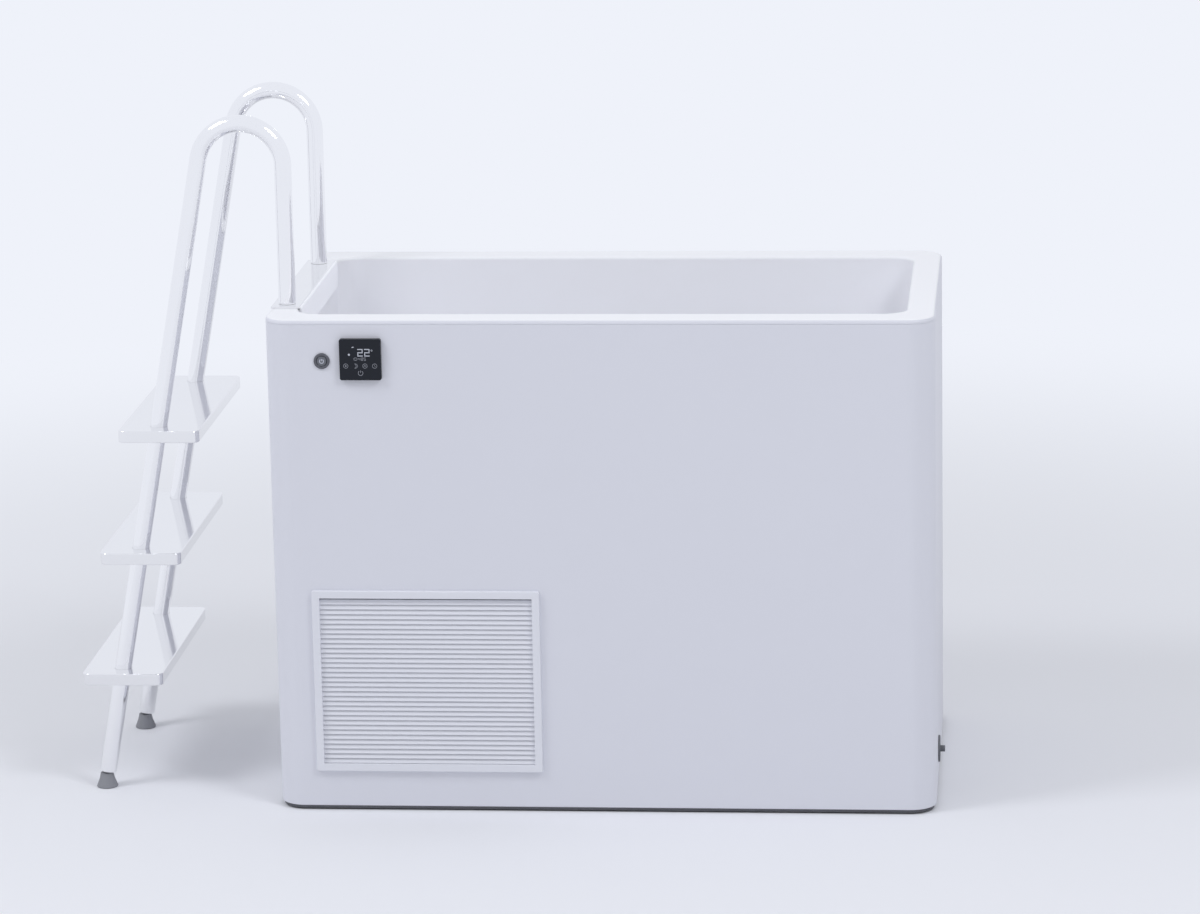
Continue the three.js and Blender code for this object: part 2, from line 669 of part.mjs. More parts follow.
// Insulation of a long wall: full height beside the foot well, and only above the machine space.
function longFoam(from, to) {
  const outline = [
    [BULKHEAD, LIP_TOP + FIT],
    [FLAT_X, LIP_TOP + FIT],
    [FLAT_X, RIM_UNDER - FIT],
    [-FLAT_X, RIM_UNDER - FIT],
    [-FLAT_X, MACHINE_TOP],
    [BULKHEAD, MACHINE_TOP],
  ];
  return prism(outline, 'y', from, to);
}

function foamFront() {
  const slab = longFoam(SHELL_INNER.y0 + FIT, BASIN_OUTER.y0 - FIT);
  const notchLeft = BUTTON_X - BUTTON_NUT_R - FOAM_NOTCH_MARGIN;
  const notchRight = PANEL_X + PANEL_BOX / 2 + FOAM_NOTCH_MARGIN;
  const lowest = Math.min(PANEL_HEIGHT - PANEL_BOX / 2, BUTTON_HEIGHT - BUTTON_NUT_R);
  const notchBottom = lowest - FOAM_NOTCH_MARGIN;
  return slab.subtract(box([notchLeft, notchRight], [FRONT, BASIN_OUTER.y0], [notchBottom, TUB_HEIGHT]));
}

function foamBack() {
  return longFoam(BASIN_OUTER.y1 + FIT, SHELL_INNER.y1 - FIT);
}

function foamLeft() {
  return box([SHELL_INNER.x0 + FIT, BASIN_OUTER.x0 - FIT], [-FLAT_Y, FLAT_Y], [MACHINE_TOP, RIM_UNDER - FIT]);
}

function foamRight() {
  const spanX = [BASIN_OUTER.x1 + FIT, SHELL_INNER.x1 - FIT];
  const slab = box(spanX, [-FLAT_Y, FLAT_Y], [LIP_TOP + FIT, RIM_UNDER - FIT]);
  return slab.subtract(rod('x', point(0, DRAIN_Y, DRAIN_HEIGHT), DRAIN_PIPE_R + PASS, 0, HALF_LENGTH));
}

// Insulation in one piece under the seat and in front of the foot well.
function foamStep() {
  const wellSide = WELL_OUTER.x0 - FIT;
  const seatSide = SEAT_UNDER - FIT;
  const edgeCut = SEAT_EDGE_R - BASIN_WALL;
  const outline = [
    [BULKHEAD, MACHINE_FLOOR],
    [wellSide, MACHINE_FLOOR],
    [wellSide, seatSide - edgeCut],
    [wellSide - edgeCut, seatSide],
    [BASIN_OUTER.x0, seatSide],
    [BASIN_OUTER.x0, MACHINE_TOP],
    [BULKHEAD, MACHINE_TOP],
  ];
  const block = prism(outline, 'y', BASIN_OUTER.y0, BASIN_OUTER.y1);
  const holeR = FITTING_TAIL_R + PASS;
  const holes = [SUCTION_AXIS, RETURN_AXIS].map((axis) => rod('x', axis, holeR, TAIL_END, WELL_AREA.x0));
  return block.subtract(join(holes));
}

function foamFloor() {
  const slab = box([WELL_OUTER.x0, BASIN_OUTER.x1], [BASIN_OUTER.y0, BASIN_OUTER.y1],
    [MACHINE_FLOOR, WELL_UNDER - FIT]);
  const holeR = DRAIN_PIPE_R + PASS;
  const shaft = rod('z', DRAIN_AXIS, holeR, DRAIN_HEIGHT, WELL_FLOOR);
  const channel = box([DRAIN_X - holeR, HALF_LENGTH], [DRAIN_Y - holeR, DRAIN_Y + holeR],
    [DRAIN_HEIGHT - holeR, WELL_FLOOR]);
  return slab.subtract(shaft.add(channel));
}

// A welded frame on four legs, with its top bars under the seat's insulation.
function seatFrame() {
  const x0 = -FLAT_X;
  const x1 = BULKHEAD - FIT;
  const y0 = SHELL_INNER.y0 + TRAY_LIP_WALL + 2 * FIT;
  const y1 = -y0;
  const top = MACHINE_TOP - FIT;
  const bars = [top - FRAME_BAR, top];
  const legs = [MACHINE_FLOOR, top];
  const columns = [[x0, x0 + FRAME_WIDTH], [x1 - FRAME_WIDTH, x1]];
  const rows = [[y0, y0 + FRAME_WIDTH], [y1 - FRAME_WIDTH, y1]];
  const crossBars = columns.map((column) => box(column, [y0, y1], bars));
  const longBars = rows.map((row) => box([x0, x1], row, bars));
  const posts = columns.flatMap((column) => rows.map((row) => box(column, row, legs)));
  return join([...crossBars, ...longBars, ...posts]);
}

// Louvre panels

// A louvre panel that faces -Y, with the wall's outer face at y = 0 and its lower left corner at the origin.
function louvrePanel({ width, height }) {
  const border = GRILLE_BORDER;
  const open = { x: [border, width - border], z: [border, height - border] };
  const plan = { x0: 0, x1: width, y0: 0, y1: height, r: GRILLE_CORNER_R };
  const face = softBlock(plan, [[0, FIT], ...upperRound(GRILLE_PROUD, GRILLE_EDGE_R)]);
  const skirt = box([border - SKIRT_WALL, width - border + SKIRT_WALL],
    [border - SKIRT_WALL, height - border + SKIRT_WALL], [-SKIRT_DEPTH, FIT * 2]);
  const hole = box(open.x, open.z, [-SKIRT_DEPTH - OVERCUT, GRILLE_PROUD + OVERCUT]);
  const frame = turnUpright(face.add(skirt).subtract(hole));
  const count = Math.floor((open.z[1] - open.z[0]) / SLAT_PITCH);
  const spare = (open.z[1] - open.z[0] - count * SLAT_PITCH) / 2;
  const slats = Array.from({ length: count }, (_, i) => {
    const z = open.z[0] + spare + (i + 0.5) * SLAT_PITCH;
    return slat(open.x[0] - OVERCUT, open.x[1] + OVERCUT, z);
  });
  return join([frame, ...slats]);
}

// Drawn flat as seen from the front, a panel is tipped up so that its face looks along -Y.
function turnUpright(solid) {
  return solidOf(geometryOf(solid).rotateX(Math.PI / 2));
}

// One sloping blade, its outer edge down, with its front edge behind the frame's face.
function slat(x0, x1, z) {
  const blade = new THREE.BoxGeometry(x1 - x0, SLAT_DEPTH, SLAT_THICK);
  const tilt = radians(SLAT_TILT);
  const reach = SLAT_DEPTH / 2 * Math.cos(tilt) + SLAT_THICK / 2 * Math.sin(tilt);
  return solidOf(blade.rotateX(tilt).translate((x0 + x1) / 2, SLAT_RECESS - GRILLE_PROUD + reach, z));
}

// The wall opening that a louvre panel's skirt goes through.
function louvreHole({ width, height, x, z, y }) {
  const inset = GRILLE_BORDER - SKIRT_WALL - FIT;
  const through = [y - 2 * SHELL_WALL, y + 2 * SHELL_WALL];
  return box([x + inset, x + width - inset], through, [z + inset, z + height - inset]);
}

// A mesh filter that sits inside the grille's skirt, behind the slats.
function dustFilter({ width, height }) {
  const inset = GRILLE_BORDER + FIT;
  const spanX = [inset, width - inset];
  const spanZ = [inset, height - inset];
  const back = SKIRT_DEPTH - FIT;
  const depth = [back - FILTER_THICK, back];
  const window = box([spanX[0] + FILTER_BORDER, spanX[1] - FILTER_BORDER], [0, SKIRT_DEPTH],
    [spanZ[0] + FILTER_BORDER, spanZ[1] - FILTER_BORDER]);
  const rimmed = box(spanX, depth, spanZ).subtract(window);
  const middle = back - FILTER_THICK / 2;
  const mesh = box(spanX, [middle - FILTER_MESH / 2, middle + FILTER_MESH / 2], spanZ);
  const bars = Array.from({ length: FILTER_BARS }, (_, i) => {
    const x = THREE.MathUtils.lerp(...spanX, (i + 1) / (FILTER_BARS + 1));
    return box([x - FILTER_BAR / 2, x + FILTER_BAR / 2], depth, spanZ);
  });
  return join([rimmed, mesh, ...bars]);
}

// Air side of the chiller, behind the intake grille

// The finned block with its end plates, which stand on the tray, and the return bends of its tubes.
function condenserCoil() {
  const { x, y, z } = COIL;
  const fins = Math.floor((x[1] - x[0]) / FIN_PITCH);
  const pitch = (x[1] - x[0]) / fins;
  const block = box(x, y, z);
  const gap = pitch - FIN_THICK;
  const grooves = Array.from({ length: fins }, (_, i) => {
    const middle = x[0] + (i + 0.5) * pitch;
    const span = [middle - gap / 2, middle + gap / 2];
    const height = [z[0] - OVERCUT, z[1] + OVERCUT];
    const front = box(span, [y[0] - OVERCUT, y[0] + FIN_GROOVE], height);
    return front.add(box(span, [y[1] - FIN_GROOVE, y[1] + OVERCUT], height));
  });
  const plates = [[x[0] - COIL_PLATE, x[0]], [x[1], x[1] + COIL_PLATE]]
    .map((span) => box(span, y, [MACHINE_FLOOR, z[1]]));
  const bends = Array.from({ length: BEND_ROWS }, (_, row) => {
    const low = z[0] + (2 * row + 0.5) * BEND_PITCH;
    return returnBend(x[1] + COIL_PLATE / 2, low, low + BEND_PITCH);
  });
  return join([block.subtract(join(grooves)), ...plates, ...bends]);
}

function returnBend(x, low, high) {
  const r = (high - low) / 2;
  const centre = point(x, COIL_MIDDLE, low + r);
  const stations = Array.from({ length: 2 * BEND_STEPS + 1 }, (_, step) => {
    const angle = Math.PI * (step / (2 * BEND_STEPS) - 0.5);
    const at = centre.clone().add(point(r * Math.cos(angle), 0, r * Math.sin(angle)));
    return { at, heading: point(-Math.sin(angle), 0, Math.cos(angle)) };
  });
  return tubeAlong(new BentRoute(stations), BEND_TUBE_R, 0, LINE_SIDES);
}

function fanShroud() {
  const { x, z } = COIL;
  const front = SHROUD_FRONT;
  const back = front + SHROUD_DEPTH;
  const inner = FAN_R + FAN_TIP_GAP;
  const plate = box([x[0] - COIL_PLATE, x[1] + COIL_PLATE], [front, front + SHROUD_THICK], z);
  const collar = rod('y', FAN_AXIS, inner + SHROUD_RING_WALL, front, back);
  return plate.add(collar).subtract(rod('y', FAN_AXIS, inner, front - OVERCUT, back + OVERCUT));
}

// A blade is a sector of the fan's disc, pitched about its own middle line.
function fanBlade(index) {
  const half = radians(FAN_BLADE_SWEEP) / 2;
  const rootHalf = radians(FAN_ROOT_SWEEP) / 2;
  const sector = new THREE.Shape();
  sector.absarc(0, 0, FAN_R, -half, half);
  sector.absarc(0, 0, FAN_ROOT_R, rootHalf, -rootHalf, true);
  const options = { depth: FAN_BLADE_THICK, bevelEnabled: false, curveSegments: FAN_ARC_STEPS };
  const blade = new THREE.ExtrudeGeometry(sector, options).translate(0, 0, -FAN_BLADE_THICK / 2);
  blade.rotateX(radians(FAN_BLADE_PITCH)).rotateZ(index / FAN_BLADES * 2 * Math.PI);
  return solidOf(ALONG.y(blade));
}

// Drawn about its own axis; the assembly puts it on the motor's shaft.
function condenserFan() {
  const blades = Array.from({ length: FAN_BLADES }, (_, i) => fanBlade(i));
  const sweep = rod('y', point(0, 0, 0), FAN_R, -FAN_DEPTH / 2, FAN_DEPTH / 2);
  const hub = rod('y', point(0, 0, 0), FAN_HUB_R, -FAN_HUB_DEPTH / 2, FAN_HUB_DEPTH / 2);
  const bore = rod('y', point(0, 0, 0), MOTOR_SHAFT_R + FIT, -FAN_HUB_DEPTH, FAN_HUB_DEPTH);
  return join(blades).intersect(sweep).add(hub).subtract(bore);
}

// Two straps across the shroud, with their ends folded forward onto its plate.
function fanBracket() {
  const { x } = COIL;
  const plateBack = SHROUD_FRONT + SHROUD_THICK + FIT;
  const parts = [-1, 1].flatMap((side) => {
    const z = FAN_AXIS.z + side * STRAP_SPREAD;
    const band = [z - STRAP_HEIGHT / 2, z + STRAP_HEIGHT / 2];
    return [
      box(x, [STRAP_Y, STRAP_Y + STRAP_THICK], band),
      box([x[0], x[0] + STRAP_THICK], [plateBack, STRAP_Y + STRAP_THICK], band),
      box([x[1] - STRAP_THICK, x[1]], [plateBack, STRAP_Y + STRAP_THICK], band),
    ];
  });
  const tieX = FAN_AXIS.x - MOTOR_R;
  const tie = box([tieX, tieX + STRAP_HEIGHT], [STRAP_Y, STRAP_Y + STRAP_THICK],
    [FAN_AXIS.z - STRAP_SPREAD, FAN_AXIS.z + STRAP_SPREAD]);
  return join([...parts, tie]);
}

function fanMotor() {
  const front = STRAP_Y + STRAP_THICK + FIT;
  const back = front + MOTOR_LENGTH;
  const body = turned([
    [0, front],
    [MOTOR_R, front],
    [MOTOR_R, back - MOTOR_EDGE_R],
    [MOTOR_R - MOTOR_EDGE_R, back],
    [0, back],
  ], 'y', FAN_AXIS);
  return body.add(rod('y', FAN_AXIS, MOTOR_SHAFT_R, FAN_Y - FAN_HUB_DEPTH / 2, front + OVERCUT));
}

// Refrigerant side

// A domed steel shell on a three-cornered foot plate, with its pipe stubs.
function compressor() {
  const { x, y } = COMPRESSOR_AXIS;
  const springing = COMPRESSOR_TOP - COMPRESSOR_DOME;
  const dome = quarter((angle) => {
    const rise = COMPRESSOR_DOME * Math.sin(angle);
    return [COMPRESSOR_R * Math.cos(angle), springing + rise];
  });
  const shell = turned([
    [0, COMPRESSOR_FOOT],
    [COMPRESSOR_R - COMPRESSOR_BASE_R, COMPRESSOR_FOOT],
    [COMPRESSOR_R, COMPRESSOR_FOOT + COMPRESSOR_BASE_R],
    ...dome,
  ], 'z', COMPRESSOR_AXIS);
  const plateTop = COMPRESSOR_FOOT + COMPRESSOR_FOOT_THICK;
  const plate = rod('z', COMPRESSOR_AXIS, COMPRESSOR_FOOT_R, COMPRESSOR_FOOT, plateTop);
  const stubR = LINE_R + LINE_PORT_WALL;
  const sideAxis = point(x, y, SUCTION_STUB_Z);
  const suctionStub = rod('x', sideAxis, stubR, -COMPRESSOR_R - STUB_LENGTH, 0, SMALL_SIDES);
  const stubTop = COMPRESSOR_TOP + STUB_LENGTH;
  const dischargeStub = rod('z', COMPRESSOR_AXIS, stubR, springing, stubTop, SMALL_SIDES);
  return join([shell, plate, suctionStub, dischargeStub]);
}

function grommetPlace(index) {
  const angle = (index + 0.5) / GROMMETS * 2 * Math.PI;
  const reach = point(Math.cos(angle), Math.sin(angle), 0).multiplyScalar(COMPRESSOR_FOOT_HOLE_R);
  return COMPRESSOR_AXIS.clone().add(reach);
}

function compressorGrommet() {
  return turned([
    [0, 0],
    [GROMMET_R, 0],
    [GROMMET_R, GROMMET_FLANGE],
    [GROMMET_WAIST_R, GROMMET_HEIGHT / 2],
    [GROMMET_R, GROMMET_HEIGHT - GROMMET_FLANGE],
    [GROMMET_R, GROMMET_HEIGHT],
    [0, GROMMET_HEIGHT],
  ], 'z', point(0, 0, 0), SMALL_SIDES);
}

// The water chiller: a barrel with glued end caps, and ports for water and refrigerant.
function heatExchanger() {
  const bottom = MACHINE_FLOOR;
  const top = bottom + EXCHANGER_HEIGHT;
  const barrel = turned([
    [0, bottom],
    [EXCHANGER_CAP_R, bottom],
    [EXCHANGER_CAP_R, bottom + EXCHANGER_CAP],
    [EXCHANGER_R, bottom + EXCHANGER_CAP],
    [EXCHANGER_R, top - EXCHANGER_CAP],
    [EXCHANGER_CAP_R, top - EXCHANGER_CAP],
    [EXCHANGER_CAP_R, top - EXCHANGER_EDGE_R],
    [EXCHANGER_CAP_R - EXCHANGER_EDGE_R, top],
    [0, top],
  ], 'z', EXCHANGER_AXIS);
  const { x, y } = EXCHANGER_AXIS;
  const reach = EXCHANGER_R + STUB_LENGTH;
  const waterIn = rod('y', point(x, y, HEAD_PORT_Z), HOSE_R + HOSE_PORT_WALL, 0, reach);
  const waterOut = rod('x', point(x, y, EXCHANGER_OUT_Z), HOSE_R + HOSE_PORT_WALL, 0, reach);
  const stubR = LINE_R + LINE_PORT_WALL;
  const liquidIn = rod('x', point(x, y - LINE_OFFSET, LIQUID_Z), stubR, 0, reach, SMALL_SIDES);
  const gasOut = rod('x', point(x, y + LINE_OFFSET, GAS_Z), stubR, 0, reach, SMALL_SIDES);
  return join([barrel, waterIn, waterOut, liquidIn, gasOut]);
}

function dischargeLine() {
  const { x, y } = COMPRESSOR_AXIS;
  const start = COMPRESSOR_TOP + STUB_LENGTH + FIT;
  const end = COIL.x[1] + COIL_PLATE + FIT;
  return line([point(x, y, start), point(x, y, DISCHARGE_Z), point(LINE_X, y, DISCHARGE_Z),
    point(LINE_X, COIL_MIDDLE, DISCHARGE_Z), point(end, COIL_MIDDLE, DISCHARGE_Z)]);
}

function liquidLine() {
  const start = COIL.x[1] + COIL_PLATE + FIT;
  const port = EXCHANGER_AXIS.x + EXCHANGER_R + STUB_LENGTH + FIT;
  const y = EXCHANGER_AXIS.y - LINE_OFFSET;
  const aisle = COMPRESSOR_AXIS.y - COMPRESSOR_FOOT_R - LINE_BEND;
  const turn = port + 3 * LINE_BEND;
  return line([point(start, COIL_MIDDLE, LIQUID_Z), point(LINE_X, COIL_MIDDLE, LIQUID_Z),
    point(LINE_X, aisle, LIQUID_Z), point(turn, aisle, LIQUID_Z), point(turn, y, LIQUID_Z),
    point(port, y, LIQUID_Z)]);
}

function suctionLine() {
  const start = EXCHANGER_AXIS.x + EXCHANGER_R + STUB_LENGTH + FIT;
  const { y } = COMPRESSOR_AXIS;
  const turn = start + 3 * LINE_BEND;
  const end = COMPRESSOR_AXIS.x - COMPRESSOR_R - STUB_LENGTH - FIT;
  return line([point(start, y, GAS_Z), point(turn, y, GAS_Z), point(turn, y, SUCTION_STUB_Z),
    point(end, y, SUCTION_STUB_Z)]);
}

// Water side

// Drawn along X with its inlet on the right and its outlet on top of the volute.
function circulationPump() {
  const { x, y, z } = PUMP_CENTRE;
  const volute = rod('x', PUMP_CENTRE, PUMP_VOLUTE_R, 0, PUMP_VOLUTE_WIDTH);
  const motor = turned([
    [0, -PUMP_MOTOR_LENGTH],
    [PUMP_MOTOR_R - PUMP_EDGE_R, -PUMP_MOTOR_LENGTH],
    [PUMP_MOTOR_R, PUMP_EDGE_R - PUMP_MOTOR_LENGTH],
    [PUMP_MOTOR_R, OVERCUT],
    [0, OVERCUT],
  ], 'x', PUMP_CENTRE);
  const portR = HOSE_R + HOSE_PORT_WALL;
  const inlet = rod('x', PUMP_CENTRE, portR, PUMP_VOLUTE_WIDTH - OVERCUT, PUMP_VOLUTE_WIDTH + STUB_LENGTH);
  const outlet = rod('z', PUMP_OUTLET, portR, z, z + PUMP_VOLUTE_R + STUB_LENGTH);
  const footEnd = x - PUMP_FOOT_BEHIND;
  const footMiddle = footEnd - PUMP_FOOT_LENGTH / 2;
  const foot = box([footEnd - PUMP_FOOT_LENGTH, footEnd], [y - PUMP_MOTOR_R, y + PUMP_MOTOR_R],
    [MACHINE_FLOOR, MACHINE_FLOOR + PUMP_FOOT_THICK]);
  const web = box([footMiddle - PUMP_WEB_LENGTH / 2, footMiddle + PUMP_WEB_LENGTH / 2],
    [y - PUMP_WEB_WIDTH / 2, y + PUMP_WEB_WIDTH / 2], [MACHINE_FLOOR, z]);
  return join([volute, motor, inlet, outlet, foot, web]);
}

function filterSump() {
  const bottom = MACHINE_FLOOR;
  const top = bottom + FILTER_SUMP_HEIGHT;
  const inner = FILTER_R - FILTER_WALL;
  const floor = bottom + FILTER_WALL;
  return turned([
    [0, bottom],
    [FILTER_R - FILTER_EDGE_R, bottom],
    [FILTER_R, bottom + FILTER_EDGE_R],
    [FILTER_R, top],
    [inner, top],
    [inner, floor],
    [0, floor],
  ], 'z', FILTER_AXIS);
}

function filterCartridge() {
  const outline = Array.from({ length: 2 * CARTRIDGE_PLEATS }, (_, i) => {
    const angle = i / CARTRIDGE_PLEATS * Math.PI;
    const r = i % 2 ? CARTRIDGE_R - CARTRIDGE_PLEAT_DEPTH : CARTRIDGE_R;
    return [FILTER_AXIS.x + r * Math.cos(angle), FILTER_AXIS.y + r * Math.sin(angle)];
  });
  const bottom = MACHINE_FLOOR + FILTER_WALL + FIT;
  const pleats = prism(outline, 'z', bottom, bottom + CARTRIDGE_HEIGHT);
  const top = bottom + CARTRIDGE_HEIGHT;
  return pleats.subtract(rod('z', FILTER_AXIS, CARTRIDGE_CORE_R, bottom - OVERCUT, top + OVERCUT));
}

// The lid screws onto the sump and has both water ports.
function filterHead() {
  const bottom = FILTER_HEAD_BOTTOM;
  const top = bottom + FILTER_HEAD_HEIGHT;
  const cap = turned([
    [0, bottom],
    [FILTER_R, bottom],
    [FILTER_R, top - FILTER_EDGE_R],
    [FILTER_R - FILTER_EDGE_R, top],
    [0, top],
  ], 'z', FILTER_AXIS);
  const { x, y } = FILTER_AXIS;
  const reach = FILTER_R + STUB_LENGTH;
  const inlet = rod('x', point(x, y, HEAD_PORT_Z), HOSE_R + HOSE_PORT_WALL, 0, reach);
  const outlet = rod('y', point(x, y, HEAD_PORT_Z), HOSE_R + HOSE_PORT_WALL, -reach, 0);
  const waterway = rod('z', FILTER_AXIS, CARTRIDGE_CORE_R, bottom - OVERCUT, HEAD_PORT_Z);
  return join([cap, inlet, outlet]).subtract(waterway);
}

function suctionPipe() {
  const start = TAIL_END - FIT;
  const end = PUMP_CENTRE.x + PUMP_VOLUTE_WIDTH + STUB_LENGTH + FIT;
  const middle = (start + end) / 2;
  const low = PUMP_CENTRE.z;
  return hose([
    point(start, PUMP_Y, SUCTION_Z),
    point(middle, PUMP_Y, SUCTION_Z),
    point(middle, PUMP_Y, low),
    point(end, PUMP_Y, low),
  ]);
}

function pumpHose() {
  const start = PUMP_CENTRE.z + PUMP_VOLUTE_R + STUB_LENGTH + FIT;
  const end = FILTER_AXIS.x + FILTER_R + STUB_LENGTH + FIT;
  const turn = end + 2 * HOSE_BEND;
  return hose([point(PUMP_OUTLET.x, PUMP_Y, start), point(PUMP_OUTLET.x, PUMP_Y, HEAD_PORT_Z),
    point(turn, PUMP_Y, HEAD_PORT_Z), point(turn, FILTER_Y, HEAD_PORT_Z), point(end, FILTER_Y, HEAD_PORT_Z)]);
}

function filterHose() {
  const start = FILTER_Y - FILTER_R - STUB_LENGTH - FIT;
  const end = EXCHANGER_Y + EXCHANGER_R + STUB_LENGTH + FIT;
  return rod('y', point(LEFT_ROW_X, 0, HEAD_PORT_Z), HOSE_R, end, start, HOSE_SIDES);
}

function returnHose() {
  const start = EXCHANGER_AXIS.x + EXCHANGER_R + STUB_LENGTH + FIT;
  const turn = start + 2.5 * HOSE_BEND;
  return hose([point(start, EXCHANGER_Y, EXCHANGER_OUT_Z), point(turn, EXCHANGER_Y, EXCHANGER_OUT_Z),
    point(turn, EXCHANGER_Y, RETURN_Z), point(TAIL_END - FIT, EXCHANGER_Y, RETURN_Z)]);
}

// A flanged fitting in the foot well's left wall; its tail runs through the insulation to the machine space.
function wallFitting(axis, mouthR) {
  const wall = WELL_AREA.x0 + FIT;
  const face = wall + FITTING_FLANGE;
  return turned([
    [0, TAIL_END],
    [FITTING_TAIL_R, TAIL_END],
    [FITTING_TAIL_R, wall],
    [FITTING_FLANGE_R, wall],
    [FITTING_FLANGE_R, wall + FITTING_FLANGE / 2],
    [FITTING_FLANGE_R - FITTING_FLANGE / 2, face],
    [mouthR, face],
    [mouthR - MOUTH_TAPER, wall],
    [0, wall],
  ], 'x', axis);
}

// The suction fitting has a grate of three bars over its mouth.
function suctionFitting() {
  const mouthR = FITTING_TAIL_R;
  const body = wallFitting(SUCTION_AXIS, mouthR);
  const face = WELL_AREA.x0 + FIT + FITTING_FLANGE;
  const bars = [-1, 0, 1].map((side) => {
    const z = SUCTION_Z + side * GRATE_PITCH;
    return box([face - GRATE_DEPTH, face], [PUMP_Y - mouthR - OVERCUT, PUMP_Y + mouthR + OVERCUT],
      [z - GRATE_BAR / 2, z + GRATE_BAR / 2]);
  });
  return join([body, ...bars]);
}

function floorDrain() {
  const tailR = DRAIN_PIPE_BORE_R - 2 * FIT;
  const bore = tailR - DRAIN_TAIL_WALL;
  const seat = WELL_FLOOR + FIT;
  const face = seat + DRAIN_GRATE;
  const flange = turned([
    [bore, DRAIN_TAIL],
    [tailR, DRAIN_TAIL],
    [tailR, seat],
    [FITTING_FLANGE_R, seat],
    [FITTING_FLANGE_R, face - DRAIN_GRATE_EDGE],
    [FITTING_FLANGE_R - DRAIN_GRATE_EDGE, face],
    [bore, face],
    [bore, DRAIN_TAIL],
  ], 'z', DRAIN_AXIS);
  const bars = [-1, 0, 1].map((side) => {
    const y = DRAIN_Y + side * DRAIN_BAR_PITCH;
    return box([DRAIN_X - tailR, DRAIN_X + tailR], [y - DRAIN_BAR / 2, y + DRAIN_BAR / 2],
      [face - GRATE_DEPTH, face]);
  });
  return join([flange, ...bars]);
}

// Pipe bend under the floor drain, towards the right wall.
function drainElbow() {
  const low = DRAIN_HEIGHT - DRAIN_PIPE_R;
  const end = DRAIN_SLEEVE_END - FIT;
  const across = point(0, DRAIN_Y, DRAIN_HEIGHT);
  const drop = rod('z', DRAIN_AXIS, DRAIN_PIPE_R, low, WELL_UNDER - FIT);
  const outside = drop.add(rod('x', across, DRAIN_PIPE_R, DRAIN_X, end));
  const shaft = rod('z', DRAIN_AXIS, DRAIN_PIPE_BORE_R, DRAIN_HEIGHT, WELL_FLOOR);
  return outside.subtract(shaft.add(rod('x', across, DRAIN_PIPE_BORE_R, DRAIN_X, end + OVERCUT)));
}

function drainFlange() {
  const bore = SPIGOT_R + FIT;
  const wall = HALF_LENGTH + FIT;
  const face = wall + DRAIN_FLANGE;
  return turned([
    [bore, DRAIN_SLEEVE_END],
    [DRAIN_SLEEVE_R, DRAIN_SLEEVE_END],
    [DRAIN_SLEEVE_R, wall],
    [DRAIN_FLANGE_R, wall],
    [DRAIN_FLANGE_R, face - DRAIN_FLANGE_EDGE],
    [DRAIN_FLANGE_R - DRAIN_FLANGE_EDGE, face],
    [bore, face],
    [bore, DRAIN_SLEEVE_END],
  ], 'x', point(0, DRAIN_Y, DRAIN_HEIGHT));
}

function drainSpigot() {
  const end = HALF_LENGTH + FIT + DRAIN_FLANGE + SPIGOT_PROUD;
  const start = end - SPIGOT_LENGTH;
  return turned([
    [SPIGOT_BORE_R, start],
    [SPIGOT_R, start],
    [SPIGOT_R, end - SPIGOT_EDGE],
    [SPIGOT_R - SPIGOT_EDGE, end],
    [SPIGOT_BORE_R, end],
    [SPIGOT_BORE_R, start],
  ], 'x', point(0, DRAIN_Y, DRAIN_HEIGHT));
}

// Controls

// The back box sits in the wall, and the square face stands on the wall round it.
function controllerHousing() {
  const half = PANEL_SIZE / 2;
  const face = softBlock(area(half, half, PANEL_CORNER_R), [[0, FIT], [0, PANEL_HOUSING]]);
  const boxHalf = PANEL_BOX / 2;
  const back = box([-boxHalf, boxHalf], [-boxHalf, boxHalf], [-PANEL_BOX_DEPTH, FIT * 2]);
  return turnUpright(face.add(back));
}

function controllerGlass() {
  const half = PANEL_SIZE / 2;
  const back = PANEL_HOUSING + FIT;
  const levels = [[0, back], ...upperRound(back + PANEL_GLASS, PANEL_GLASS_EDGE)];
  return turnUpright(softBlock(area(half, half, PANEL_CORNER_R), levels));
}

// The button's pieces are drawn along -Y from the wall's outer face.
function buttonBezel() {
  const face = -FIT - BUTTON_FLANGE;
  return turned([
    [BUTTON_BORE_R, BUTTON_BARREL],
    [BUTTON_BARREL_R, BUTTON_BARREL],
    [BUTTON_BARREL_R, -FIT],
    [BUTTON_R, -FIT],
    [BUTTON_R, face + BUTTON_EDGE],
    [BUTTON_R - BUTTON_EDGE, face],
    [BUTTON_BORE_R + BUTTON_BORE_EDGE, face],
    [BUTTON_BORE_R, face + BUTTON_BORE_EDGE],
    [BUTTON_BORE_R, BUTTON_BARREL],
  ], 'y', point(0, 0, 0));
}

function buttonCap() {
  const face = -FIT - BUTTON_FLANGE;
  return turned([
    [0, face],
    [BUTTON_CAP_R - BUTTON_CAP_EDGE, face],
    [BUTTON_CAP_R, face + BUTTON_CAP_EDGE],
    [BUTTON_CAP_R, BUTTON_CAP_BACK],
    [0, BUTTON_CAP_BACK],
  ], 'y', point(0, 0, 0));
}

function buttonNut() {
  const near = SHELL_WALL + FIT;
  const far = near + BUTTON_NUT;
  const hexagon = rod('y', point(0, 0, 0), BUTTON_NUT_R, near, far, NUT_SIDES);
  return hexagon.subtract(rod('y', point(0, 0, 0), BUTTON_BARREL_R + FIT, 0, far + OVERCUT));
}

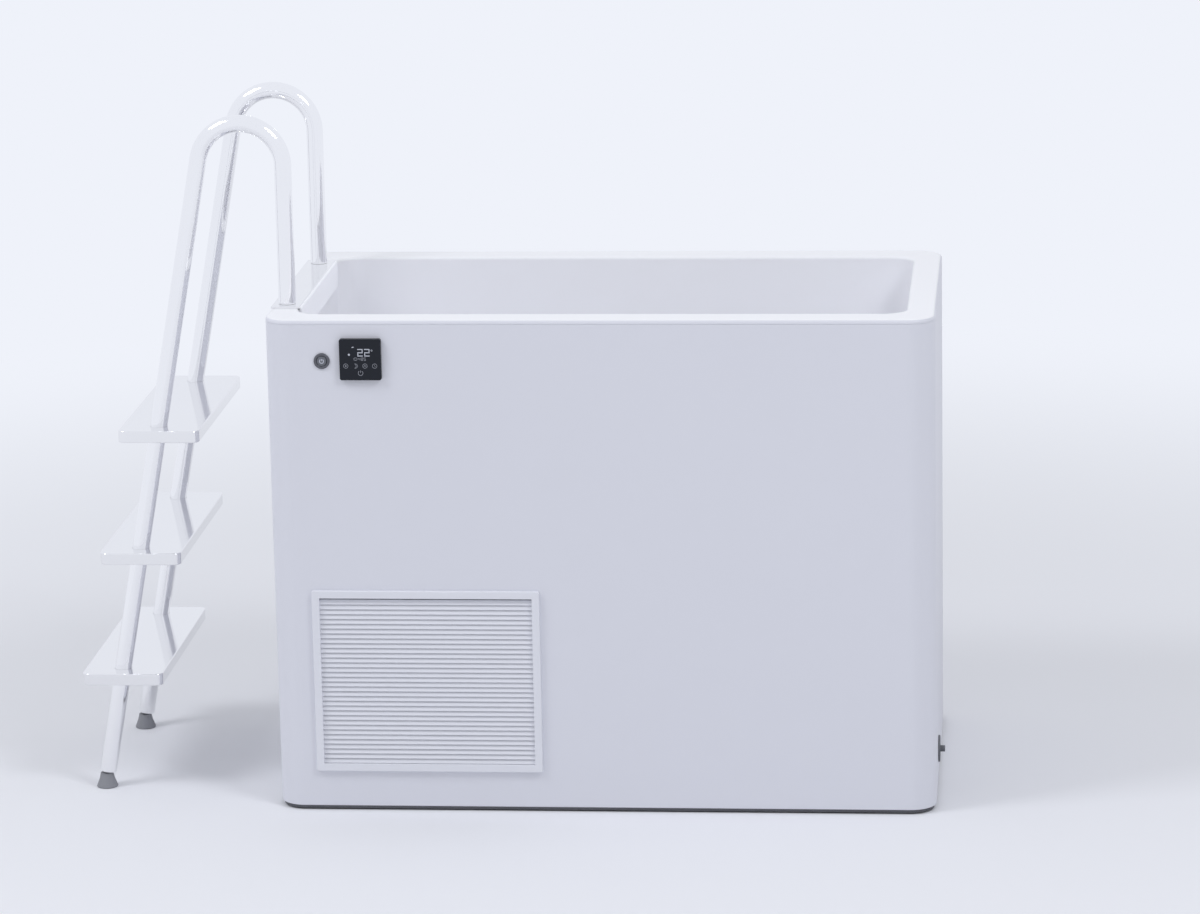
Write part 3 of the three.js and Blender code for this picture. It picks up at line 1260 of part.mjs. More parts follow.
// The contact block fills the back of the barrel and has its plunger one stroke behind the cap.
function buttonSwitch() {
  const front = BUTTON_CAP_BACK + BUTTON_TRAVEL + FIT;
  const shoulder = BUTTON_BARREL + FIT;
  const bodyR = BUTTON_BORE_R - FIT;
  return turned([
    [0, front],
    [PLUNGER_R, front],
    [PLUNGER_R, front + PLUNGER],
    [bodyR, front + PLUNGER],
    [bodyR, shoulder],
    [BUTTON_BARREL_R, shoulder],
    [BUTTON_BARREL_R, shoulder + SWITCH_COLLAR],
    [SWITCH_R, shoulder + SWITCH_COLLAR],
    [SWITCH_R, shoulder + SWITCH_TAIL],
    [0, shoulder + SWITCH_TAIL],
  ], 'y', point(0, 0, 0), SMALL_SIDES);
}

// Electric box on the back wall, open to the front under its lid.
function controlBox() {
  const hollow = box([BOX_X[0] + BOX_WALL, BOX_X[1] - BOX_WALL], [BOX_Y[0] - OVERCUT, BOX_Y[1] - BOX_WALL],
    [BOX_Z[0] + BOX_WALL, BOX_Z[1] - BOX_WALL]);
  return box(BOX_X, BOX_Y, BOX_Z).subtract(hollow);
}

function controlBoxLid() {
  const back = BOX_Y[0] - FIT;
  const slab = box(BOX_X, [back - BOX_WALL, back], BOX_Z);
  const inset = BOX_WALL + FIT;
  return slab.add(box([BOX_X[0] + inset, BOX_X[1] - inset], [back - OVERCUT, back + BOX_WALL],
    [BOX_Z[0] + inset, BOX_Z[1] - inset]));
}

// Gland for the mains lead, with a six-sided clamping nut.
function powerGland() {
  const centre = point(GLAND_X, HALF_DEPTH, GLAND_HEIGHT);
  const barrel = rod('y', centre, GLAND_BARREL_R, -SHELL_WALL - GLAND_R, FIT);
  const nut = rod('y', centre, GLAND_NUT_R, FIT, GLAND_NUT, NUT_SIDES);
  const dome = turned([
    [0, GLAND_NUT - OVERCUT],
    [GLAND_R, GLAND_NUT - OVERCUT],
    [GLAND_R, GLAND_PROUD - GLAND_DOME],
    [GLAND_MOUTH_R, GLAND_PROUD],
    [0, GLAND_PROUD],
  ], 'y', centre);
  const bore = rod('y', centre, GLAND_BORE_R, -2 * GLAND_PROUD, 2 * GLAND_PROUD);
  return join([barrel, nut, dome]).subtract(bore);
}

// Ladder, drawn with x = 0 at the tub's left face and y = 0 in its middle

const SLOPE = radians(LEG_SLOPE);
const INNER_LEG_X = RIM_ENDS / 2;
const BEND_X = INNER_LEG_X - RAIL_BEND_R;
const BEND_Z = RAIL_TOP - RAIL_R - RAIL_BEND_R;
const HOOK_TOP = TUB_HEIGHT + FIT + HOOK_THICK;
const LEG_END = FOOT_HEIGHT + FIT + (RAIL_R - RAIL_END_R) * Math.sin(SLOPE); // the leg's lower end
const LEG_HEADING = point(Math.sin(SLOPE), 0, Math.cos(SLOPE));

// The sloping leg's axis at a height.
function legX(z) {
  const tangentZ = BEND_Z + RAIL_BEND_R * Math.sin(SLOPE);
  const tangentX = BEND_X - RAIL_BEND_R * Math.cos(SLOPE);
  return tangentX - (tangentZ - z) * Math.tan(SLOPE);
}

// Sloping leg, grab bend and upright leg in one run, in the plane y = 0.
function railRoute(lowerEnd) {
  const stations = [{ at: lowerEnd, heading: LEG_HEADING }];
  for (let step = 0; step <= RAIL_BEND_STEPS; step++) {
    const angle = (Math.PI - SLOPE) * (1 - step / RAIL_BEND_STEPS);
    const at = point(BEND_X + RAIL_BEND_R * Math.cos(angle), 0, BEND_Z + RAIL_BEND_R * Math.sin(angle));
    stations.push({ at, heading: point(Math.sin(angle), 0, -Math.cos(angle)) });
  }
  stations.push({ at: point(INNER_LEG_X, 0, HOOK_TOP + FIT), heading: point(0, 0, -1) });
  return new BentRoute(stations);
}

// A bent tube whose lower end is drawn in round the foot's stem.
function ladderRail() {
  const end = point(legX(LEG_END), 0, LEG_END);
  const tubeStart = end.clone().addScaledVector(LEG_HEADING, RAIL_END_R);
  const tube = tubeAlong(railRoute(tubeStart), RAIL_R, RAIL_R - RAIL_WALL, RAIL_SIDES);
  const bore = FOOT_STEM_R + FIT;
  const rounding = lowerRound(0, RAIL_END_R).map(([inset, z]) => [RAIL_R - inset, z]);
  const capTop = 2 * RAIL_END_R;
  const profile = [[bore, 0], ...rounding, [RAIL_R - RAIL_WALL / 2, capTop], [bore, capTop], [bore, 0]];
  const outline = profile.map(([r, h]) => new THREE.Vector2(r, h));
  const cap = new THREE.LatheGeometry(outline, RAIL_SIDES).rotateX(Math.PI / 2).rotateY(SLOPE);
  return tube.add(solidOf(cap.translate(end.x, end.y, end.z)));
}

function tread(index) {
  const top = TREAD_RISE * (index + 1);
  const middle = legX(top - TREAD_THICK / 2) + TREAD_SHIFT;
  const plan = {
    x0: middle - TREAD_WIDTH / 2,
    x1: middle + TREAD_WIDTH / 2,
    y0: -TREAD_LENGTH / 2,
    y1: TREAD_LENGTH / 2,
    r: TREAD_CORNER_R,
  };
  const slab = softBlock(plan, [
    [TREAD_EDGE_R, top - TREAD_THICK],
    [0, top - TREAD_THICK + TREAD_EDGE_R],
    [0, top - TREAD_EDGE_R],
    [TREAD_EDGE_R, top],
  ]);
  const legs = [-1, 1].map((side) => {
    const run = [-1, 1].map((way) => {
      const z = top - TREAD_THICK / 2 + way * TREAD_THICK;
      return { at: point(legX(z), side * RAIL_SPACING / 2, z), heading: LEG_HEADING };
    });
    return tubeAlong(new BentRoute(run), RAIL_R + FIT, 0, RAIL_SIDES);
  });
  return slab.subtract(join(legs));
}

// Plate over the rim with its inner edge bent down into the basin.
function hookPlate() {
  const under = TUB_HEIGHT + FIT;
  const inner = RIM_ENDS + FIT;
  const outer = inner + HOOK_THICK;
  const profile = new THREE.Shape();
  profile.moveTo(0, under);
  profile.lineTo(inner, under);
  profile.lineTo(inner, TUB_HEIGHT - HOOK_DROP);
  profile.lineTo(outer, TUB_HEIGHT - HOOK_DROP);
  profile.absarc(outer - HOOK_BEND_R, HOOK_TOP - HOOK_BEND_R, HOOK_BEND_R, 0, Math.PI / 2);
  profile.lineTo(0, HOOK_TOP);
  const options = { depth: HOOK_LENGTH, bevelEnabled: false, curveSegments: ROUND_STEPS };
  const swept = new THREE.ExtrudeGeometry(profile, options);
  return solidOf(swept.rotateX(Math.PI / 2).translate(0, HOOK_LENGTH / 2, 0));
}

// A rubber bell foot, with a stem up the leg's lower end.
function ladderFoot() {
  const end = point(legX(LEG_END), 0, LEG_END);
  const baseX = legX(0) + (legX(FOOT_HEIGHT) - legX(0)) / 2;
  const bell = turned([
    [0, 0],
    [FOOT_R - FOOT_HEM / 2, 0],
    [FOOT_R, FOOT_HEM],
    [(FOOT_R + FOOT_WAIST_R) / 2, FOOT_WAIST * 3 / 4],
    [FOOT_WAIST_R, FOOT_WAIST],
    [FOOT_TOP_R, FOOT_HEIGHT],
    [0, FOOT_HEIGHT],
  ], 'z', point(baseX, 0, 0));
  const stem = new THREE.CylinderGeometry(FOOT_STEM_R, FOOT_STEM_R, FOOT_STEM, RAIL_SIDES);
  stem.rotateX(Math.PI / 2).rotateY(SLOPE).translate(end.x, end.y, end.z);
  return bell.add(solidOf(stem));
}

// The group, with every piece in its place

function at(place, mesh) {
  mesh.position.copy(place);
  return mesh;
}

function casing() {
  return assembly(
    piece('outer_shell', outerShell(), WHITE_GLOSS),
    piece('basin', basin(), WHITE_GLOSS),
    piece('base_tray', baseTray(), DARK_BASE),
    piece('base_mat', baseMat(), RUBBER),
    piece('foam_front', foamFront(), FOAM),
    piece('foam_back', foamBack(), FOAM),
    piece('foam_left', foamLeft(), FOAM),
    piece('foam_right', foamRight(), FOAM),
    piece('foam_step', foamStep(), FOAM),
    piece('foam_floor', foamFloor(), FOAM),
    piece('seat_frame', seatFrame(), ZINC),
  );
}

function louvres() {
  const intake = point(INTAKE.x, INTAKE.y, INTAKE.z);
  const outlet = piece('rear_vent', louvrePanel(OUTLET), WHITE_SATIN);
  outlet.rotation.z = Math.PI;
  return assembly(
    at(intake, piece('louvre_grille', louvrePanel(INTAKE), WHITE_SATIN)),
    at(intake, piece('dust_filter', dustFilter(INTAKE), DARK_PLASTIC)),
    at(point(OUTLET.x + OUTLET.width, OUTLET.y, OUTLET.z), outlet),
  );
}

function chiller() {
  const fanPlace = FAN_AXIS.clone().setY(FAN_Y);
  const group = assembly(
    piece('condenser_coil', condenserCoil(), ALUMINIUM),
    piece('fan_shroud', fanShroud(), BLACK_PAINT),
    at(fanPlace, piece('condenser_fan', condenserFan(), DARK_PLASTIC)),
    piece('fan_bracket', fanBracket(), ZINC),
    piece('fan_motor', fanMotor(), BLACK_PAINT),
    piece('compressor', compressor(), BLACK_PAINT),
    piece('heat_exchanger', heatExchanger(), PALE_PLASTIC),
    piece('discharge_line', dischargeLine(), COPPER),
    piece('liquid_line', liquidLine(), COPPER),
    piece('suction_line', suctionLine(), COPPER),
  );
  for (let i = 0; i < GROMMETS; i++) {
    const place = grommetPlace(i).setZ(MACHINE_FLOOR);
    group.add(at(place, piece(`compressor_grommet_${i + 1}`, compressorGrommet(), RUBBER)));
  }
  return group;
}

function waterCircuit() {
  return assembly(
    piece('circulation_pump', circulationPump(), DARK_PLASTIC),
    piece('filter_sump', filterSump(), BLUE_PLASTIC),
    piece('filter_cartridge', filterCartridge(), FILTER_PAPER),
    piece('filter_head', filterHead(), DARK_PLASTIC),
    piece('suction_pipe', suctionPipe(), PALE_PLASTIC),
    piece('pump_hose', pumpHose(), PALE_PLASTIC),
    piece('filter_hose', filterHose(), PALE_PLASTIC),
    piece('return_hose', returnHose(), PALE_PLASTIC),
    piece('suction_fitting', suctionFitting(), WHITE_SATIN),
    piece('return_jet', wallFitting(RETURN_AXIS, JET_MOUTH_R), WHITE_SATIN),
    piece('floor_drain', floorDrain(), STEEL),
    piece('drain_elbow', drainElbow(), PALE_PLASTIC),
    piece('drain_flange', drainFlange(), DARK_PLASTIC),
    piece('drain_spigot', drainSpigot(), DARK_PLASTIC),
  );
}

function controls() {
  const panel = point(PANEL_X, FRONT, PANEL_HEIGHT);
  const button = point(BUTTON_X, FRONT, BUTTON_HEIGHT);
  return assembly(
    at(panel, piece('controller_housing', controllerHousing(), BLACK_PAINT)),
    at(panel, piece('controller_glass', controllerGlass(), BLACK_GLASS)),
    at(button, piece('button_bezel', buttonBezel(), DARK_STEEL)),
    at(button, piece('button_cap', buttonCap(), ZINC)),
    at(button, piece('button_nut', buttonNut(), ZINC)),
    at(button, piece('button_switch', buttonSwitch(), DARK_PLASTIC)),
    piece('control_box', controlBox(), PALE_PLASTIC),
    piece('control_box_lid', controlBoxLid(), PALE_PLASTIC),
    piece('power_gland', powerGland(), DARK_PLASTIC),
  );
}

function ladder() {
  const group = assembly(piece('hook_plate', hookPlate(), WHITE_GLOSS));
  for (let i = 0; i < TREAD_COUNT; i++) group.add(piece(`tread_${i + 1}`, tread(i), WHITE_GLOSS));
  for (const [end, side] of [['front', -1], ['back', 1]]) {
    const plane = point(0, side * RAIL_SPACING / 2, 0);
    group.add(at(plane, piece(`ladder_rail_${end}`, ladderRail(), STEEL)));
    group.add(at(plane, piece(`ladder_foot_${end}`, ladderFoot(), RUBBER)));
  }
  return at(point(LEFT, 0, 0), group);
}

export default assembly(casing(), louvres(), chiller(), waterCircuit(), controls(), ladder());
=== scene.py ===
"""Looks of a cold plunge tub with a hook-on ladder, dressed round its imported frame.

Lengths are metres in the frame's axes: +X to the right, +Y to the back, +Z up.
"""
import logging
import math
from dataclasses import dataclass
from enum import Enum
from typing import Callable, Iterable, Sequence

import bmesh
import bpy
from mathutils import Matrix, Vector


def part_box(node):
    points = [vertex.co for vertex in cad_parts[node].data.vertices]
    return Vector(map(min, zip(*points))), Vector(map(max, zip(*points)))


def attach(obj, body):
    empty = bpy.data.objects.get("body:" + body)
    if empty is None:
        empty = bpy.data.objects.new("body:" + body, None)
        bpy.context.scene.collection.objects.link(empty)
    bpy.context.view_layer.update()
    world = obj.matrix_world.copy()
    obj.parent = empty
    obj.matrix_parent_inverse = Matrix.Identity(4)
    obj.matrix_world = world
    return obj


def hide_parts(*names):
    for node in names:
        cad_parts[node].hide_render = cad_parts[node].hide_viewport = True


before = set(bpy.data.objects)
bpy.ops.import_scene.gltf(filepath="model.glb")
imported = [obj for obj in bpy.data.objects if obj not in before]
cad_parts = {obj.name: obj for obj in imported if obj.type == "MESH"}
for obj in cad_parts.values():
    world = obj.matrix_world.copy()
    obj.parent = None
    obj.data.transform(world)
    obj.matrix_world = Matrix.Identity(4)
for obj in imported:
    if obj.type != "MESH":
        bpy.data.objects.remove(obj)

LOG = logging.getLogger("plunge_tub")
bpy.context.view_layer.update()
MM = 0.001
FIT = 0.3 * MM
MIN_CORNER = 0.2 * MM
CORNER_STEPS = 14
ROUND_STEPS = 8
TURNED_SIDES = 64
TUBE_SIDES = 40
BEND_STEPS = 36
SMOOTH_ANGLE = math.radians(32)
QUARTER_TURN = math.pi / 2
FULL_TURN = 2 * math.pi

Mesh = bmesh.types.BMesh
Colour = tuple[float, float, float]
Level = tuple[float, float]


class Axis(Enum):
    """The frame axis that a turned piece or a panel is built along."""

    X = "x"
    Y = "y"
    Z = "z"


class Cut(Enum):
    """How two closed meshes are put together."""

    JOIN = "UNION"
    CARVE = "DIFFERENCE"


def srgb(red: int, green: int, blue: int) -> Colour:
    """Turns 8-bit display values into linear colour.

    Args:
        red: red, 0 to 255.
        green: green, 0 to 255.
        blue: blue, 0 to 255.

    Returns:
        The three linear components.
    """
    def linear(value: int) -> float:
        """One component, by the display curve."""
        share = value / 255
        return share / 12.92 if share <= 0.04045 else ((share + 0.055) / 1.055) ** 2.4

    return (linear(red), linear(green), linear(blue))


@dataclass(frozen=True)
class Plan:
    """A rounded rectangle, seen along the axis that a piece is lofted on."""

    x0: float
    x1: float
    y0: float
    y1: float
    r: float

    def grown(self, by: float) -> "Plan":
        """The same outline moved outwards, or inwards where the amount is negative."""
        return Plan(self.x0 - by, self.x1 + by, self.y0 - by, self.y1 + by, self.r + by)

    def ring(self, inset: float, height: float) -> list[Vector]:
        """One level of the outline.

        Args:
            inset: how far the level is drawn in.
            height: its place along the loft's axis.

        Returns:
            The level's points, counter-clockwise.
        """
        r = max(self.r - inset, MIN_CORNER)
        x0, x1 = self.x0 + inset + r, self.x1 - inset - r
        y0, y1 = self.y0 + inset + r, self.y1 - inset - r
        points = []
        for corner, (x, y) in enumerate([(x1, y1), (x0, y1), (x0, y0), (x1, y0)]):
            for step in range(CORNER_STEPS + 1):
                angle = (corner + step / CORNER_STEPS) * QUARTER_TURN
                points.append(Vector((x + r * math.cos(angle), y + r * math.sin(angle), height)))
        return points


def quarter(level: Callable[[float], Level]) -> list[Level]:
    """Levels of a quarter round, from a rule that turns an angle into a level."""
    return [level(step / ROUND_STEPS * QUARTER_TURN) for step in range(ROUND_STEPS + 1)]


def lower_round(z: float, r: float) -> list[Level]:
    """Levels of a rounded lower edge, from the bottom up."""
    return quarter(lambda a: (r - r * math.sin(a), z + r - r * math.cos(a)))


def upper_round(z: float, r: float) -> list[Level]:
    """Levels of a rounded upper edge, from the bottom up."""
    return quarter(lambda a: (r - r * math.cos(a), z - r + r * math.sin(a)))


def upper_flare(z: float, r: float) -> list[Level]:
    """Levels of an upper edge that opens outwards."""
    return [(-inset, height) for inset, height in upper_round(z, r)]


def turned_edge(r: float, end: float, edge: float, way: int = 1) -> list[Level]:
    """A turned piece's rounded outer edge.

    Args:
        r: the piece's radius.
        end: where its end face is.
        edge: the rounding's radius.
        way: +1 where the end face looks along the axis, -1 where it looks back.

    Returns:
        (radius, place along the axis) points, up to the end face.
    """
    return [(r - inset, way * place) for inset, place in upper_round(way * end, edge)]


def skin(rows: Sequence[Sequence[Vector]], closed: bool) -> Mesh:
    """A closed mesh through rows of points; a row of one point is a pole.

    Args:
        rows: the rows, in order.
        closed: whether the last row joins the first; otherwise the ends are capped.

    Returns:
        The mesh, with its faces turned outwards.
    """
    mesh = bmesh.new()
    verts = [[mesh.verts.new(p) for p in row] for row in rows]
    pairs = list(zip(verts, verts[1:]))
    if closed:
        pairs.append((verts[-1], verts[0]))
    for low, high in pairs:
        count = max(len(low), len(high))
        for i in range(count):
            j = (i + 1) % count
            if len(low) == 1:
                mesh.faces.new((low[0], high[j], high[i]))
            elif len(high) == 1:
                mesh.faces.new((low[i], low[j], high[0]))
            else:
                mesh.faces.new((low[i], low[j], high[j], high[i]))
    if not closed:
        for row in (verts[0], verts[-1]):
            if len(row) > 1:
                mesh.faces.new(row)
    bmesh.ops.recalc_face_normals(mesh, faces=mesh.faces)
    return mesh


def soft_block(plan: Plan, levels: Sequence[Level]) -> Mesh:
    """A solid through levels of one rounded rectangle, given as (inset, height)."""
    return skin([plan.ring(inset, z) for inset, z in levels], closed=False)


def sleeve(plan: Plan, section: Sequence[Level]) -> Mesh:
    """A closed wall: a section of (inset, height) points carried round a rounded rectangle."""
    return skin([plan.ring(inset, z) for inset, z in section], closed=True)


def placed(axis: Axis, across: float, other: float, along: float) -> Vector:
    """A point from its place across and along an axis.

    Args:
        axis: the axis that the piece is built along.
        across: first place square to it: X on axes Y and Z, Y on axis X.
        other: second place square to it: Z on axes X and Y, Y on axis Z.
        along: place along it.

    Returns:
        The point in the frame.
    """
    if axis is Axis.X:
        return Vector((along, across, other))
    if axis is Axis.Y:
        return Vector((across, along, other))
    return Vector((across, other, along))


def turned(profile: Sequence[Level], axis: Axis, centre: Vector) -> Mesh:
    """A solid of revolution.

    Args:
        profile: (radius, place along the axis) points; it ends on the axis at both ends, or is
            a closed loop.
        axis: the axis of revolution.
        centre: a point on it.

    Returns:
        The closed mesh.
    """
    rows = []
    for r, h in profile:
        angles = [FULL_TURN * i / TURNED_SIDES for i in range(TURNED_SIDES)] if r > 0 else [0.0]
        rows.append([centre + placed(axis, r * math.cos(a), r * math.sin(a), h) for a in angles])
    return skin(rows, closed=profile[0][0] > 0)


def rod(axis: Axis, centre: Vector, r: float, start: float, end: float) -> Mesh:
    """A plain round bar along an axis, for holes."""
    return turned([(0, start), (r, start), (r, end), (0, end)], axis, centre)


def slab(low: Sequence[float], high: Sequence[float]) -> Mesh:
    """A straight block.

    Args:
        low: its lowest corner.
        high: its highest corner.

    Returns:
        The closed mesh.
    """
    (x0, y0, z0), (x1, y1, z1) = low, high
    corners = [(x0, y0), (x1, y0), (x1, y1), (x0, y1)]
    return skin([[Vector((x, y, z)) for x, y in corners] for z in (z0, z1)], closed=False)


def swept(outline: Sequence[Level], axis: Axis, start: float, end: float) -> Mesh:
    """An outline of (across, other) points carried straight along an axis."""
    ends = [[placed(axis, a, b, at) for a, b in outline] for at in (start, end)]
    return skin(ends, closed=False)


def stood_up(mesh: Mesh, wall: float, outwards: int) -> Mesh:
    """Tips a panel that was drawn flat, so that it stands on an upright wall.

    Args:
        mesh: the panel, with X across, Y up the wall and Z out of it.
        wall: the wall's place on Y.
        outwards: -1 where the panel looks to the front, +1 to the back.

    Returns:
        The same mesh.
    """
    turn = Matrix(((1, 0, 0, 0), (0, 0, outwards, wall), (0, 1, 0, 0), (0, 0, 0, 1)))
    bmesh.ops.transform(mesh, matrix=turn, verts=mesh.verts)
    bmesh.ops.recalc_face_normals(mesh, faces=mesh.faces)
    return mesh


def mesh_data(name: str, mesh: Mesh) -> bpy.types.Mesh:
    """Turns a working mesh into mesh data.

    Args:
        name: the data's name.
        mesh: the working mesh, which is freed.

    Returns:
        The data.
    """
    data = bpy.data.meshes.new(name)
    mesh.to_mesh(data)
    mesh.free()
    return data


def added(name: str, data: bpy.types.ID) -> bpy.types.Object:
    """Adds an object to the scene.

    Args:
        name: its name.
        data: its mesh, light or camera.

    Returns:
        The object.
    """
    thing = bpy.data.objects.new(name, data)
    bpy.context.scene.collection.objects.link(thing)
    return thing


def merged(meshes: Iterable[Mesh]) -> Mesh:
    """Puts several closed meshes together, each still its own shell.

    Args:
        meshes: the meshes, which are freed.

    Returns:
        The new mesh.
    """
    whole = bmesh.new()
    for mesh in meshes:
        data = mesh_data("shell", mesh)
        whole.from_mesh(data)
        bpy.data.meshes.remove(data)
    return whole


def worked(base: Mesh, cut: Cut, tools: Iterable[Mesh]) -> Mesh:
    """Joins a mesh with each tool in turn, or carves each tool out of it.

    Args:
        base: the mesh that is worked on.
        cut: what is done with each tool.
        tools: the other meshes.

    Returns:
        The new mesh; the given ones are freed.
    """
    helpers = [added("bench", mesh_data("bench", mesh)) for mesh in (base, *tools)]
    for tool in helpers[1:]:
        modifier = helpers[0].modifiers.new("work", "BOOLEAN")
        modifier.operation = cut.value
        modifier.solver = "EXACT"
        modifier.object = tool
    bpy.context.view_layer.update()
    result = bmesh.new()
    result.from_object(helpers[0], bpy.context.evaluated_depsgraph_get())
    for helper in helpers:
        data = helper.data
        bpy.data.objects.remove(helper)
        bpy.data.meshes.remove(data)
    return result


def fitted(name: str, mesh: Mesh, finish: "Finish", body: str,
           stands_for: Sequence[str] = ()) -> bpy.types.Object:
    """Makes a finished piece that rides on a body.

    Args:
        name: the piece's name.
        mesh: its closed mesh, in place.
        finish: what it is made of.
        body: the body that carries it.
        stands_for: frame nodes that it takes the place of.

    Returns:
        The new object.
    """
    for face in mesh.faces:
        face.smooth = True
    for edge in mesh.edges:
        edge.smooth = edge.is_manifold and edge.calc_face_angle(math.pi) < SMOOTH_ANGLE
    data = mesh_data(name, mesh)
    piece = added(name, data)
    data.materials.append(finish.material())
    weighted = piece.modifiers.new("flat faces", "WEIGHTED_NORMAL")
    weighted.keep_sharp = True
    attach(piece, body)
    if stands_for:
        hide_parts(*stands_for)
    LOG.info("%s on %s, %d faces", name, body, len(data.polygons))
    return piece


def dressed(node: str, finish: "Finish") -> None:
    """Gives a frame node that keeps its own shape its finish.

    Args:
        node: the node's name.
        finish: what it is made of.
    """
    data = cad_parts[node].data
    data.materials.clear()
    data.materials.append(finish.material())
    LOG.info("%s keeps its shape, finished as %s", node, finish.name)


class Wiring:
    """Adds nodes to a tree and joins them."""

    def __init__(self, tree: bpy.types.NodeTree) -> None:
        """Keeps the tree that nodes are added to."""
        self.tree = tree

    def node(self, kind: str, **values: object) -> bpy.types.Node:
        """Adds a node of a type, set up with the values that fill takes."""
        return self.fill(self.tree.nodes.new(kind), **values)

    def fill(self, node: bpy.types.Node, **values: object) -> bpy.types.Node:
        """Sets a node up.

        Args:
            node: the node.
            values: its attributes, or what goes into its inputs: a plain value, or an output that
                is joined. An input goes by its name, with underscores for spaces, or as in0, in1.

        Returns:
            The same node.
        """
        for key, value in values.items():
            if hasattr(node, key):
                setattr(node, key, value)
                continue
            socket = node.inputs[int(key[2:]) if key[2:].isdigit() else key.replace("_", " ")]
            if isinstance(value, bpy.types.NodeSocket):
                self.tree.links.new(value, socket)
            else:
                socket.default_value = value
        return node

    def blend(self, share: bpy.types.NodeSocket, first: object,
              second: object) -> bpy.types.NodeSocket:
        """Mixes two colours.

        Args:
            share: how much of the second colour there is.
            first: the first colour, plain or as an output.
            second: the second colour, likewise.

        Returns:
            The output with the mixed colour.
        """
        mix = self.node("ShaderNodeMix", data_type="RGBA", Factor=share, A=first, B=second)
        return next(socket for socket in mix.outputs if socket.type == "RGBA")


def group_tree(name: str, inputs: dict[str, str], outputs: dict[str, str]) -> bpy.types.NodeTree:
    """A shader node group with named sockets.

    Args:
        name: the group's name.
        inputs: socket name to socket type.
        outputs: the same, for what it puts out.

    Returns:
        The empty group.
    """
    tree = bpy.data.node_groups.new(name, "ShaderNodeTree")
    for way, sockets in (("INPUT", inputs), ("OUTPUT", outputs)):
        for label, kind in sockets.items():
            tree.interface.new_socket(label, in_out=way, socket_type=kind)
    return tree


class SurfaceGroups:
    """The effects that several finishes share, each built once."""

    FLOAT = "NodeSocketFloat"
    COLOUR = "NodeSocketColor"
    VECTOR = "NodeSocketVector"
    NOISE_MIDDLE = 0.5
    PORE_EDGE = 0.7
    built: dict[str, bpy.types.NodeTree] = {}

    @classmethod
    def get(cls, name: str) -> bpy.types.NodeTree:
        """One of the groups, built on its first use.

        Args:
            name: the group's name, which is also the name of the method that builds it.

        Returns:
            The group.
        """
        if name not in cls.built:
            cls.built[name] = getattr(cls, name)()
        return cls.built[name]

    @classmethod
    def mottle(cls) -> bpy.types.NodeTree:
        """Slow change of colour and gloss, with a fine skin over it.

        Returns:
            A group that puts out Colour, Roughness and Height.
        """
        tree = group_tree(
            "mottle",
            {"Colour": cls.COLOUR, "Second Colour": cls.COLOUR, "Patch Scale": cls.FLOAT,
             "Skin Scale": cls.FLOAT, "Roughness": cls.FLOAT, "Roughness Swing": cls.FLOAT,
             "Stretch": cls.VECTOR},
            {"Colour": cls.COLOUR, "Roughness": cls.FLOAT, "Height": cls.FLOAT},
        )
        wire = Wiring(tree)
        given = wire.node("NodeGroupInput").outputs
        place = wire.node("ShaderNodeTexCoord").outputs["Object"]
        stretch = wire.node("ShaderNodeVectorMath", operation="MULTIPLY", in0=place,
                            in1=given["Stretch"]).outputs["Vector"]
        patches = wire.node("ShaderNodeTexNoise", Vector=stretch, Scale=given["Patch Scale"],
                            Detail=3.0, Roughness=0.5).outputs["Fac"]
        fine = wire.node("ShaderNodeTexNoise", Vector=stretch, Scale=given["Skin Scale"],
                         Detail=2.0, Roughness=0.6).outputs["Fac"]
        sway = wire.node("ShaderNodeMath", operation="SUBTRACT", in0=patches, in1=cls.NOISE_MIDDLE)
        swing = wire.node("ShaderNodeMath", operation="MULTIPLY_ADD", in0=sway.outputs[0],
                          in1=given["Roughness Swing"], in2=given["Roughness"])
        colour = wire.blend(patches, given["Colour"], given["Second Colour"])
        wire.node("NodeGroupOutput", Colour=colour, Roughness=swing.outputs[0], Height=fine)
        return tree

    @classmethod
    def cells(cls) -> bpy.types.NodeTree:
        """Open pores, as in cut foam or a filter fleece.

        Returns:
            A group that puts out Mask and Height.
        """
        tree = group_tree("cells", {"Scale": cls.FLOAT}, {"Mask": cls.FLOAT, "Height": cls.FLOAT})
        wire = Wiring(tree)
        given = wire.node("NodeGroupInput").outputs
        place = wire.node("ShaderNodeTexCoord").outputs["Object"]
        pores = wire.node("ShaderNodeTexVoronoi", feature="F1", Vector=place, Scale=given["Scale"])
        distance = pores.outputs["Distance"]
        edge = wire.node("ShaderNodeMapRange", Value=distance, From_Max=cls.PORE_EDGE)
        wire.node("NodeGroupOutput", Mask=edge.outputs["Result"], Height=distance)
        return tree


